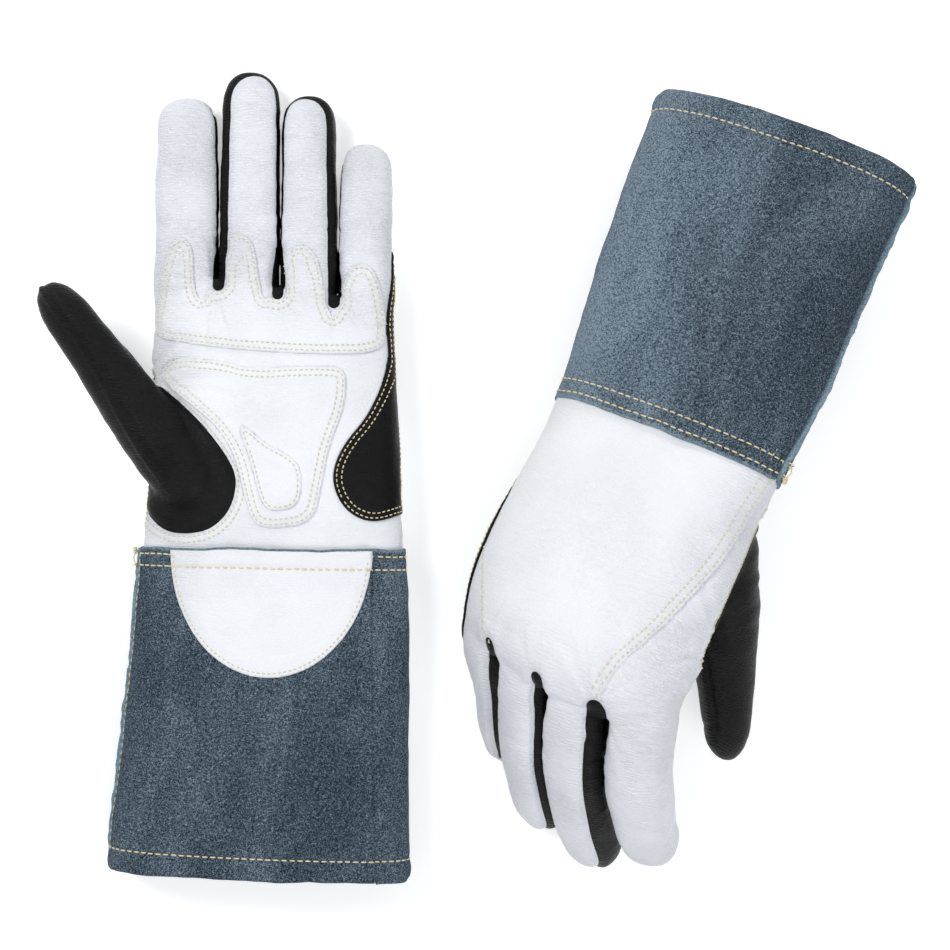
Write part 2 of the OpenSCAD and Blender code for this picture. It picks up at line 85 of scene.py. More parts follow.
# Where each glove lies, in millimetres, and how high above the table its leather bears on it
PLACE = (np.array([136.461, 147.507, -0.705]), np.array([-96.690, -178.554, -3.8]))
BEARS_AT = (0.2, 0.1)

# What the visible leather is made of: sheets this thick, besides LEATHER
PATCH_T, CUFF_T = 1.0, 1.5

# How fine the leather's meshes are
SKIN_VOXEL, SKIN_SMOOTHING = (1.0), 16
CUFF_STEP, CUFF_POINTS = ((1.2, 400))


# -------- The spine: a frame every millimetre, bent as the glove is posed

def bends_of(g):
    """The bends at the wrist and the finger joints: from s, to s, then degrees of curl, turn and twist."""
    mcp = PALM_LEN - 20
    if g == LEFT:
        return [(-30, 10, 0, 2.4, 0), (mcp, mcp + 28, -5, 0, 0)]
    pip = PALM_LEN + 0.27 * FINGER_LEN[1]
    dip = PALM_LEN + 0.62 * FINGER_LEN[1]
    return [(-50, 15, 0, -4, 14), (mcp, mcp + 28, 37, 9, 0),
            (pip, pip + 20, 20, 3, 0), (dip, dip + 14, 6, 2, 0)]


def turn_pair(u, v, degrees):
    """u and v turned in their own plane, u towards v."""
    a = math.radians(degrees)
    return u * math.cos(a) + v * math.sin(a), v * math.cos(a) - u * math.sin(a)


def first_frame(g):
    """Where the spine starts, at the cuff's mouth, and its directions there, before PLACE moves it."""
    x, y, z = np.eye(3)
    if g == RIGHT:
        lean = math.radians(21.7)
        across = np.array([-math.cos(lean), math.sin(lean), 0])
        along = np.array([-math.sin(lean), -math.cos(lean), 0])
        up = z
        up, along = turn_pair(up, along, -8.5)
        up, across = turn_pair(up, across, 8)
        return np.array([0, 0, THICK_SHARE[g] * MOUTH_T / 2 + SUEDE + 2]), across, along, up
    across, along = turn_pair(x, y, -2.4)
    return np.array([0, 0, MOUTH_T / 2 + SUEDE - 1]), across, along, -z


def make_spine(g):
    """Rows of centre, across, along and up, one to a millimetre from the cuff's mouth."""
    stations = np.arange(-CUFF_LEN, PALM_LEN + FINGER_LEN[1] + 20, 1.0)
    rates = np.zeros((len(stations), 3))
    for a, b, *angles in bends_of(g):
        rates[(stations >= a) & (stations < b)] += np.array(angles) / (b - a)
    soft = np.hanning(15)
    rates = np.stack([np.convolve(r, soft / soft.sum(), "same") for r in rates.T], 1)
    centre, across, along, up = first_frame(g)
    rows = []
    for curl, turn, twist in rates:
        rows.append((centre, across, along, up))
        up, along = turn_pair(up, along, curl)
        across, along = turn_pair(across, along, turn)
        up, across = turn_pair(up, across, twist)
        centre = centre + along
    return np.array(rows)


def smooth_step(x, a, b):
    """From 0 at a to 1 at b, without corners."""
    t = np.clip((x - a) / (b - a), 0, 1)
    return t * t * (3 - 2 * t)


def hump(x, at, width):
    """A rounded hump over at, 1 high."""
    return np.exp(-((x - at) / width) ** 2)


def cupped(g, p):
    """The half closed hand bends across as well: its little finger's side turns under."""
    if g == LEFT:
        return p
    x0 = finger_x(g)[1] - 4
    k = 0.0001 + 0.0150 * smooth_step(p[:, 1], 62, 150)
    turn = k * np.maximum(p[:, 0] - x0, 0)
    r = 1 / k + p[:, 2]
    bent = p.copy()
    past = p[:, 0] > x0
    bent[past, 0] = (x0 + r * np.sin(turn))[past]
    bent[past, 2] = (r * np.cos(turn) - 1 / k)[past]
    return bent


def lay(g, p):
    """Points of flat space, bent along the spine."""
    rows = SPINE[g]
    flat, p = p, cupped(g, p)
    u = p[:, 1] + CUFF_LEN
    i = np.clip(np.floor(u).astype(int), 0, len(rows) - 2)
    t = (u - i)[:, None]
    f = [rows[i, k] * (1 - t) + rows[i + 1, k] * t for k in range(4)]
    out = f[0] + p[:, 0:1] * f[1] + p[:, 2:3] * f[3] + PLACE[g]
    far = on_thumb_tip(g, flat)
    if far.any():
        c, across, along, up = rows[int(THUMB_ROOT + CUFF_LEN)]
        q = flat[far]
        out[far] = c + q[:, 0:1] * across + (q[:, 1:2] - THUMB_ROOT) * along + q[:, 2:3] * up + PLACE[g]
    return out


def to_table(g, flat):
    """Points of flat space laid on the table; the leather flattens where it bears on it."""
    p = lay(g, flat)
    low, soft = BEARS_AT[g], 1.2
    z = p[:, 2] - low
    p[:, 2] = low + np.where(z > 3 * soft, z, soft * np.log1p(np.exp(np.clip(z / soft, -50, 50))))
    return p


SPINE = [make_spine(g) for g in (RIGHT, LEFT)]


# -------- Sections of the skin

def curve(x, xs, ys):
    """A smooth curve through the points that doesn't overshoot them."""
    xs, ys = np.asarray(xs, float), np.asarray(ys, float)
    h, d = np.diff(xs), np.diff(ys) / np.diff(xs)
    m = np.zeros(len(xs))
    m[0], m[-1] = d[0], d[-1]
    for k in range(1, len(xs) - 1):
        if d[k - 1] * d[k] > 0:
            w1, w2 = 2 * h[k] + h[k - 1], h[k] + 2 * h[k - 1]
            m[k] = (w1 + w2) / (w1 / d[k - 1] + w2 / d[k])
    x = np.clip(x, xs[0], xs[-1])
    i = np.clip(np.searchsorted(xs, x, "right") - 1, 0, len(h) - 1)
    t = (x - xs[i]) / h[i]
    return (ys[i] * (1 + 2 * t) * (1 - t) ** 2 + h[i] * m[i] * t * (1 - t) ** 2
            + ys[i + 1] * t * t * (3 - 2 * t) + h[i] * m[i + 1] * t * t * (t - 1))


def finger_w(g):
    return FINGER_W * FINGER_WIDTH_SHARE[g]


def finger_x(g):
    w = finger_w(g)
    total = w.sum() + 3 * FINGER_GAP
    return -total / 2 + np.cumsum(w) - w / 2 + FINGER_GAP * np.arange(4)


def palm_w(g):
    return finger_w(g).sum() + 3 * FINGER_GAP


def finger_t(g):
    return FINGER_T * FINGER_THICK_SHARE[g]


def fork_x(g):
    x, w = finger_x(g), finger_w(g)
    return (x[:-1] + w[:-1] / 2 + x[1:] - w[1:] / 2) / 2


def slant(s, x):
    """The knuckles lie on a line that slants back towards the little finger."""
    return s - x * KNUCKLE_SLANT * np.maximum(0, s / PALM_LEN) ** 3


def unslant(s, x):
    """The station whose slanted section passes through s at x."""
    v = np.array(s, float)
    for _ in range(4):
        v = s + x * KNUCKLE_SLANT * np.maximum(0, v / PALM_LEN) ** 3
    return v


def fork_s(g):
    return slant(PALM_LEN, fork_x(g))


def hand_w(g, s):
    wrist, mouth = WRIST_W * WIDTH_SHARE[g], MOUTH_W * WIDTH_SHARE[g]
    palm = palm_w(g)
    return curve(s, [-CUFF_LEN, -0.45 * CUFF_LEN, 0, PALM_LEN * 0.3, PALM_LEN * 0.7, PALM_LEN],
                 [mouth, 0.62 * wrist + 0.38 * mouth, wrist, 0.5 * (palm + wrist), palm, palm - 2])


def hand_t(g, s):
    return THICK_SHARE[g] * curve(
        s, [-CUFF_LEN, 0, PALM_LEN * 0.35, PALM_LEN * 0.8, PALM_LEN * 0.93, PALM_LEN],
        [MOUTH_T, WRIST_T, PALM_T, PALM_T * 0.94, PALM_T * 0.8, FINGER_T * 0.8])


def ring(w, t, e, n):
    """A rounded oblong of n points, w by t; e below 1 makes it fuller."""
    a = np.radians(360 * (np.arange(n) + 0.5) / n)
    c, s = np.cos(a), np.sin(a)
    return np.sign(c) * np.abs(c) ** e * w / 2, np.sign(s) * np.abs(s) ** e * t / 2


def thumb_frame(g):
    """The thumb's root and its directions, which lean out from the hand and down from its back."""
    out, down = math.radians((17, 36)[g]), math.radians((40, 4)[g])
    along = np.array([-math.sin(out) * math.cos(down), math.cos(out) * math.cos(down), -math.sin(down)])
    level = np.cross(along, [0, 0, 1])
    level /= np.linalg.norm(level)
    roll = math.radians((20, 0)[g])
    across = level * math.cos(roll) + np.cross(level, along) * math.sin(roll)
    up = np.cross(across, along)
    centre = np.array([-(palm_w(g) / 2 - 15), THUMB_ROOT, -0.24 * float(hand_t(g, THUMB_ROOT))])
    return centre, across, along, up / np.linalg.norm(up)


THUMB_START = -13
THUMB_TAPER = ([0.62, 0.94, 1, 0.88, 0.70, 0.56], [0.62, 0.94, 0.96, 0.80, 0.68, 0.60])


def thumb_share(g, u):
    """The thumb's thickness at u along it, as a share of its widest."""
    body = curve(u, [THUMB_START, -2, 24, 54, 82, THUMB_LEN], THUMB_TAPER[g])
    tip = np.clip((THUMB_LEN + 1 - u) / 17, 0, 1)
    return body * (1 - (1 - tip) ** 2.2) ** (1 / 2.2)


def thumb_place(g, p):
    """Along, across and up the thumb, in millimetres."""
    c, across, along, up = thumb_frame(g)
    q = p - c
    return q @ along, q @ across, q @ up


def oval(a, b, w, t, e):
    """0 in the middle of a rounded oblong, w by t, and 1 on its outline; the higher e is, the squarer."""
    return (np.abs(2 * a / w) ** e + np.abs(2 * b / t) ** e) ** (1 / e)


def thumb_distance(g, p):
    """About how far points lie outside the thumb, below 0 inside it."""
    u, a, b = thumb_place(g, p)
    share = np.maximum(thumb_share(g, np.clip(u, THUMB_START, THUMB_LEN - 1)), 0.2)
    r = oval(a, b, THUMB_W * share, THUMB_T * share, 2.1)
    return (r - 1) * THUMB_T / 2 * share + np.maximum(0, THUMB_START - u)


def hand_distance(g, p):
    """About how far points lie outside the hand without its fingers, below 0 inside it."""
    v = unslant(p[:, 1], p[:, 0])
    r = oval(p[:, 0], p[:, 2], hand_w(g, v), hand_t(g, v), 2.5)
    return (r - 1) * hand_t(g, v) / 2 + np.maximum(0, v - PALM_LEN)


# The thumb stands clear of the hand from this far along the hand and along itself. Points within
# THUMB_NEAR of its axis that are HAND_CLEAR from the hand belong to it
THUMB_FREE_S, THUMB_FREE_U, THUMB_NEAR, HAND_CLEAR = 84, 40, 24, 5


def on_thumb_tip(g, p):
    """Points of the thumb beyond the palm's bend, which stay straight while the fingers curl."""
    u, a, b = thumb_place(g, p)
    near = (p[:, 1] > THUMB_FREE_S) & (np.hypot(a, b) < THUMB_NEAR) & (u > THUMB_FREE_U)
    return near & (hand_distance(g, p) > HAND_CLEAR)


# -------- Meshes: v points, f triangles, a values at the points

def sleeve(k, n):
    """The faces between k rings of n points."""
    return [(a + i, a + (i + 1) % n, a + n + (i + 1) % n, a + n + i)
            for a in range(0, (k - 1) * n, n) for i in range(n)]


def tube(rings):
    """A closed tube through a row of rings, with its ends filled."""
    n, k = len(rings[0]), len(rings)
    v = np.concatenate([*rings, [rings[0].mean(0), rings[-1].mean(0)]])
    hub, last = k * n, (k - 1) * n
    fans = [(hub, (i + 1) % n, i) for i in range(n)]
    fans += [(hub + 1, last + i, last + (i + 1) % n) for i in range(n)]
    return v, sleeve(k, n) + fans


def joined(parts):
    """Several meshes as one."""
    v, f, at = [], [], 0
    for pv, pf in parts:
        v.append(pv)
        f += [tuple(i + at for i in face) for face in pf]
        at += len(pv)
    return np.concatenate(v), f


def spread(g, x, s, back=False):
    """The fingers move apart while the skin is joined, so that the gaps between them stay open."""
    grow = 5.0 * smooth_step(s, 110, 130)
    xs, w = finger_x(g), finger_w(g)
    off = -1.5 * grow
    for i in range(3):
        a, b = xs[i] + w[i] / 2 - 0.6, xs[i + 1] - w[i + 1] / 2 + 0.6
        if back:
            a, b = a + (i - 1.5) * grow, b + (i - 0.5) * grow
        off = off + grow * np.clip((x - a) / (b - a), 0, 1)
    return off


def apart(g, x, s, h):
    """The points of a ring, moved apart with the fingers."""
    return np.stack([x + spread(g, x, s), s, h], 1)


# Distances from the tip at which the rounded end of a finger and of the thumb gets its rings
FINGER_END = np.array([15, 12, 9.5, 7.3, 5.3, 3.6, 2.2, 1.1, 0.4, 0])
THUMB_END = np.array([14, 11, 8.5, 6.3, 4.5, 3, 1.7, 0.7, 0.1])


def skin_volume(g):
    """The hand, fingers and thumb as closed tubes that overlap."""
    rows = []
    for s in np.arange(-CUFF_LAP, PALM_LEN + 0.1, 3):
        x, h = ring(hand_w(g, s), hand_t(g, s), 0.8, 96)
        rows.append(apart(g, x, slant(s, x), h))
    parts = [tube(rows)]
    start = PALM_LEN - 16
    for i in range(4):
        tip = PALM_LEN + FINGER_LEN[i]
        rows = []
        narrows = 0.12 if i == 0 and g == RIGHT else 0.05
        for s in np.concatenate([np.arange(start, tip - 16, 3), tip - FINGER_END]):
            d = np.clip((tip - s) / 15, 0, 1)
            share = max((1 - (1 - d) ** 2.3) ** (1 / 2.3), 0.05) * (0.9 + 0.1 * min(1, (s - start) / 20))
            share *= 1 - narrows * max(0, (s - tip + 60) / 60)
            x, h = ring(finger_w(g)[i] * share, finger_t(g) * share, 0.85, 40)
            rows.append(apart(g, x + finger_x(g)[i], np.full(len(x), s), h))
        parts.append(tube(rows))
    centre, across, along, up = thumb_frame(g)
    rows = []
    for u in np.concatenate([np.arange(THUMB_START, 88, 4), THUMB_LEN + 1 - THUMB_END]):
        x, h = ring(THUMB_W * thumb_share(g, u), THUMB_T * thumb_share(g, u), 0.95, 48)
        rows.append(centre + along * u + x[:, None] * across + h[:, None] * up)
    parts.append(tube(rows))
    return joined(parts)


def placed(name, data):
    """A new object in the scene."""
    obj = bpy.data.objects.new(name, data)
    bpy.context.scene.collection.objects.link(obj)
    return obj


def make_mesh(name, v, f):
    mesh = bpy.data.meshes.new(name)
    mesh.from_pydata(v.tolist(), [], f.tolist() if hasattr(f, "tolist") else f)
    mesh.update()
    return mesh


def read_back(obj):
    """The points and triangles of obj with its modifiers; obj is removed."""
    dg = bpy.context.evaluated_depsgraph_get()
    mesh = obj.evaluated_get(dg).to_mesh()
    v = np.zeros(len(mesh.vertices) * 3, np.float32)
    mesh.vertices.foreach_get("co", v)
    mesh.calc_loop_triangles()
    f = np.zeros(len(mesh.loop_triangles) * 3, np.int32)
    mesh.loop_triangles.foreach_get("vertices", f)
    out = v.reshape(-1, 3).astype(float), f.reshape(-1, 3).astype(np.int64)
    obj.evaluated_get(dg).to_mesh_clear()
    data = obj.data
    bpy.data.objects.remove(obj)
    bpy.data.meshes.remove(data)
    return out


def remeshed(v, f):
    """The overlapping tubes as one closed skin, smoothed."""
    obj = placed("volume", make_mesh("volume", v, f))
    m = obj.modifiers.new("join", "REMESH")
    m.mode, m.voxel_size, m.adaptivity = "VOXEL", SKIN_VOXEL, 0
    m = obj.modifiers.new("soft", "SMOOTH")
    m.factor, m.iterations = 0.5, SKIN_SMOOTHING
    return read_back(obj)


def unit(v):
    """Vectors, each made 1 long."""
    return v / np.maximum(np.linalg.norm(v, axis=1), 1e-9)[:, None]


def normals(v, f):
    n = np.zeros_like(v)
    face = np.cross(v[f[:, 1]] - v[f[:, 0]], v[f[:, 2]] - v[f[:, 0]])
    for k in range(3):
        np.add.at(n, f[:, k], face)
    return unit(n)


def compact(m, f):
    """m with only the triangles f and the points they use."""
    used, inv = np.unique(f, return_inverse=True)
    return {"v": m["v"][used], "f": inv.reshape(-1, 3), "a": {k: x[used] for k, x in m["a"].items()}}


def crossings(m, f):
    """Where f is 0 on the mesh: the cut triangles, lone corner first, and where their edges are cut."""
    side = f[m["f"]] > 0
    n = side.sum(1)
    tri, ms = m["f"][(n == 1) | (n == 2)], side[(n == 1) | (n == 2)]
    lone = np.where(ms.sum(1) == 1, ms.argmax(1), ms.argmin(1))
    r = np.arange(len(tri))
    t = np.stack([tri[r, lone], tri[r, (lone + 1) % 3], tri[r, (lone + 2) % 3]], 1)
    e = np.sort(np.concatenate([t[:, [0, 1]], t[:, [0, 2]]]), axis=1)
    key, inv = np.unique(e[:, 0] * len(m["v"]) + e[:, 1], return_inverse=True)
    a, b = key // len(m["v"]), key % len(m["v"])
    w = f[a] / (f[a] - f[b])
    return n, t, inv[:len(t)], inv[len(t):], a, b, w


def cut(m, name):
    """m cut along the line where its value name is 0: the part above, then the part below."""
    f = m["a"][name]
    f = np.where(np.abs(f) < 1e-3, 1e-3, f)
    n, t, p, q, a, b, w = crossings(m, f)
    base = len(m["v"])
    mix = lambda x: np.concatenate([x, x[a] + (x[b] - x[a]) * (w if x.ndim == 1 else w[:, None])])
    full = {"v": mix(m["v"]), "a": {k: mix(x) for k, x in m["a"].items()}}
    p, q = p + base, q + base
    small = np.stack([t[:, 0], p, q], 1)
    big = np.concatenate([np.stack([p, t[:, 1], t[:, 2]], 1), np.stack([p, t[:, 2], q], 1)])
    up = f[t[:, 0]] > 0
    above = np.concatenate([m["f"][n == 3], small[up], big[np.tile(~up, 2)]])
    below = np.concatenate([m["f"][n == 0], small[~up], big[np.tile(up, 2)]])
    return compact(full, above), compact(full, below)


def lines(m, name, at, keep=None):
    """The lines on the mesh where value name is at, as rows of points with their normals."""
    f = m["a"][name] - at
    f = np.where(np.abs(f) < 1e-3, 1e-3, f)
    n, t, p, q, a, b, w = crossings(m, f)
    at_v = m["v"][a] + (m["v"][b] - m["v"][a]) * w[:, None]
    nn = normals(m["v"], m["f"])
    at_n = nn[a] + (nn[b] - nn[a]) * w[:, None]
    ok = np.ones(len(a), bool) if keep is None else keep(at_v)
    links = {}
    for i, j in zip(p.tolist(), q.tolist()):
        if ok[i] and ok[j]:
            links.setdefault(i, []).append(j)
            links.setdefault(j, []).append(i)
    done, out = set(), []
    ends = [i for i, x in links.items() if len(x) == 1]
    for start in ends + list(links):
        if start in done:
            continue
        row, here = [start], start
        done.add(start)
        while True:
            step = [j for j in links[here] if j not in done]
            if not step:
                break
            here = step[0]
            done.add(here)
            row.append(here)
        if len(row) > 2 and len(links[start]) == 2 and start in links[row[-1]]:
            row.append(start)
        pts = at_v[row]
        if np.linalg.norm(np.diff(pts, axis=0), axis=1).sum() >= SHORTEST_ROW:
            out.append((pts, at_n[row]))
    return out


# -------- Values that say where each panel lies: distances in millimetres, above 0 inside

def rounded_outline(points):
    """The closed outline with its corners cut off, twice over."""
    p = np.array(points, float)
    for _ in range(2):
        q = np.roll(p, -1, 0)
        p = np.stack([0.75 * p + 0.25 * q, 0.25 * p + 0.75 * q], 1).reshape(-1, 2)
    return p


def inside_outline(x, s, outline):
    """Distance to a closed outline, above 0 inside it."""
    best = np.full(len(x), 1e9)
    inside = np.zeros(len(x), bool)
    for (x0, s0), (x1, s1) in zip(outline, np.roll(outline, -1, 0)):
        dx, ds = x1 - x0, s1 - s0
        t = np.clip(((x - x0) * dx + (s - s0) * ds) / max(dx * dx + ds * ds, 1e-9), 0, 1)
        best = np.minimum(best, np.hypot(x - x0 - t * dx, s - s0 - t * ds))
        if s0 != s1:
            crosses = ((s0 > s) != (s1 > s)) & (x < dx * (s - s0) / ds + x0)
            inside ^= crosses
    return np.where(inside, best, -best)


# Outlines on the palm: the corners that their rounding cuts off
UPPER_PATCH = [
    (-53, 94), (-50, 114), (-46, 133), (-41.6, 137), (-37, 136), (-34.8, 130), (-34.6, 115), (-30.7, 107.5),
    (-26, 117), (-22.5, 133), (-17.6, 138), (-11.3, 138), (-7.4, 133), (-5.8, 118), (-2.8, 107.5), (1, 115),
    (4.8, 129), (10, 133.5), (16.4, 133.5), (20.9, 127), (23.2, 113), (27, 99.5), (30.4, 109), (33.6, 122),
    (38.5, 125.5), (45.4, 124), (49.1, 112), (50.8, 97), (48.5, 86.7), (25.2, 85.4), (-12.6, 87.4),
    (-40.3, 91)]
LOWER_PATCH = [(-47.5, 81.6), (-42.8, 84.4), (-20.2, 82.9), (-10.1, 79.2), (15.1, 80.4), (30.2, 80.4),
               (33.8, 76.6), (32.3, 61), (25.6, 44.6), (22.7, 28.2), (18.9, 11.1), (0, 8.6), (-7.6, 10.6),
               (-11.3, 21.9), (-15.1, 39.6), (-22.2, 52.2), (-33.3, 62.2), (-44.9, 71.1), (-50, 77)]
CENTRE_PATCH = [(-14.5, 53.5), (-9.5, 53.5), (-2.5, 46.5), (11.3, 39.6), (14, 33.3), (13, 18.4),
                (0, 16.2), (-4.5, 21), (-9.3, 41)]
THUMB_LOBE = [(-70, 84), (-53, 75), (-47, 70.5), (-30, 55), (-18.6, 40), (-14.5, 30), (-17.6, 17),
              (-26, 8.5), (-36, 6), (-48, 7), (-58, 16), (-80, 40)]
HEEL_PATCH = [(80, 128), (52.6, 100), (51, 80), (47, 68), (41.6, 57), (33, 47), (28, 37), (27.4, 27.5),
              (32.5, 17), (42, 11.5), (52, 12.5), (80, 24)]
OUTSIDE = -20

# How far up and down the sides of the fingers the strips reach, as shares of half a finger: the side
# towards the thumb, then the other side; and the round ends of the strips, on the back and on the palm
STRIP_UP = np.array([[0, 0.92, 0.62, 0.7], [0.2, 0.22, 0.5, 0]])
STRIP_DOWN = np.array([[0, 0.77, 0.33, 0.2], [0.2, 0.35, 0.74, 0]])
STRIP_END = np.array([[4.6, 2.7, 3.0], [2.6, 2.5, 2.6]])
STRIP_OFF = np.array([[1.8, 0.6, 0.5], [0.9, 0, -0.9]])
STRIP_REACH = (18, 18, 34)


def smooth_max(a, b, k):
    """The higher of a and b, rounded over k where they cross."""
    return np.logaddexp(a / k, b / k) * k


def on_palm(g, p, outline):
    """Distance to an outline drawn on the palm, above 0 inside it."""
    inside = inside_outline(p[:, 0] / WIDTH_SHARE[g], p[:, 1], rounded_outline(outline))
    return np.where(p[:, 2] < 0, inside, OUTSIDE)


def thumb_value(g, p):
    """The thumb, with its round root on the palm."""
    x, s, h = p.T
    du, dh = thumb_distance(g, p), hand_distance(g, p)
    lobe = inside_outline(x / WIDTH_SHARE[g], s, rounded_outline(THUMB_LOBE))
    lobe = np.minimum(np.where(h < 0, lobe, -5), 30)
    stem = np.where(on_thumb_tip(g, p), 20.0, np.clip((dh - du) * 0.9 - 1.0, -40, 20))
    stem = np.where((h < 2) | (dh > 3), stem, np.minimum(stem, 3 - h))
    return np.maximum(stem, np.where(x < 0, lobe, -40))


def back_value(g, p):
    """The back panel: between the two seams on the back."""
    x, s, h = p.T
    fx, half = fork_x(g), palm_w(g) / 2
    turn, rest = PALM_LEN * 0.62, PALM_LEN * 0.32
    tx = curve(s, [-30, 2, rest, turn, PALM_LEN, 400],
               [-0.96 * half, -0.94 * half, -0.90 * half, -0.74 * half, fx[0], fx[0]])
    lx = np.where(s < turn, 1e3, half + (fx[2] - half) * np.clip((s - turn) / rest, 0, 1))
    return np.minimum(np.minimum((x - tx) * 0.85, (lx - x) * 0.8), h + 0.5)


def strip_values(g, p):
    """The fourchettes: strips on the sides of the fingers that face each other, round two of the tips."""
    x, s, h = p.T
    xs, w, fx, fs = finger_x(g), finger_w(g), fork_x(g), fork_s(g)
    i = np.abs((x[:, None] - xs) / w).argmin(1)
    fx_i, w_i, tip = xs[i], w[i], PALM_LEN + FINGER_LEN[i]
    half_t = finger_t(g) / 2
    side = smooth_step((x - fx_i) / (w_i / 2), -0.8, 0.8)
    up = (STRIP_UP[0][i] * (1 - side) + STRIP_UP[1][i] * side) * half_t
    down = (STRIP_DOWN[0][i] * (1 - side) + STRIP_DOWN[1][i] * side) * half_t
    fork = np.where(x < fx_i, np.maximum(i - 1, 0), np.minimum(i, 2))
    runs = 0.5 + 0.5 * smooth_step(s, fs[fork] - 2, fs[fork] + 14)
    strip = np.minimum(up * runs - h, h + down * runs)
    strip = np.where(i == 0, np.minimum(strip, np.minimum(x - fx_i, tip - 7 - s)), strip)
    strip = np.where(i == 3, np.minimum(strip, np.minimum(fx_i - x, tip - 7 - s)), strip)
    strip = np.minimum(strip, (s - fs[fork]) * 1.5 + 2)
    four = strip
    # between the fingers they end in round tongues on the back and on the palm
    for k in range(3):
        r = np.where(h > 0, STRIP_END[0][k], STRIP_END[1][k])
        off = np.where(h > 0, STRIP_OFF[0][k], STRIP_OFF[1][k])
        ds = np.maximum(0, fs[k] - 3 - s)
        reach = fs[k] + np.where(h > 0, STRIP_REACH[k], 18)
        narrow = r * (1 - 0.5 * smooth_step(s, fs[k] + 4, reach))
        tongue = np.minimum(narrow - np.hypot(x - fx[k] - off, ds), reach - s)
        four = np.where(np.abs(s - fs[k]) < 30, smooth_max(four, tongue, 0.5), four)
    # all three, then the first and the last of them
    wraps = tip - s < 9.5
    return (four, xs[1] - x + np.where((i == 1) & wraps, 40, 0),
            x - xs[2] + np.where((i == 2) & wraps, 40, 0))


def heel_value(g, p):
    """The heel patch comes round the hand's outer edge, and runs up it as a strip."""
    x, s, h = p.T
    heel = inside_outline(x / WIDTH_SHARE[g], s, rounded_outline(HEEL_PATCH))
    rim = 1.0 + 8.5 * smooth_step(s, 26, 74)
    strip = (rim + 6) / 2 * smooth_step(s, 136, 108) - np.abs(h - (rim - 6) / 2)
    strip = np.minimum(strip, np.minimum(x - 30, s - 40))
    return np.maximum(np.minimum(heel, rim - h), strip)


def fields(g, p):
    """All panel values at flat points p."""
    four, first, last = strip_values(g, p)
    return {"thumb": thumb_value(g, p), "thumb_seam": thumb_place(g, p)[2] - 0.6, "back": back_value(g, p),
            "four": four, "first_four": first, "last_four": last,
            "upper": np.minimum(on_palm(g, p, UPPER_PATCH), -four - 1.2),
            "lower": on_palm(g, p, LOWER_PATCH), "centre": on_palm(g, p, CENTRE_PATCH),
            "heel": heel_value(g, p), "flat": p.copy()}


# -------- Noise for folds and creases, the same each run

def noise(p, seed):
    """Smooth noise from -1 to 1, one cell to a unit."""
    rng = np.random.default_rng(seed)
    table = rng.uniform(-1, 1, 4096)
    q = np.floor(p).astype(np.int64)
    t = p - q
    t = t * t * t * (t * (t * 6 - 15) + 10)
    out = np.zeros(len(p))
    for dx in (0, 1):
        for dy in (0, 1):
            for dz in (0, 1):
                k = ((q[:, 0] + dx) * 73856093) ^ ((q[:, 1] + dy) * 19349663) ^ ((q[:, 2] + dz) * 83492791)
                w = np.abs(1 - dx - t[:, 0]) * np.abs(1 - dy - t[:, 1]) * np.abs(1 - dz - t[:, 2])
                out += table[k & 4095] * w
    return out


def cells(x, y, z=0):
    return np.stack(np.broadcast_arrays(x, y, z), 1)


def fbm(p, seed, octaves=2):
    """Noise at several sizes, each half the one before and half as strong."""
    return sum(noise(p * 2 ** k, seed + k) / 2 ** k for k in range(octaves))


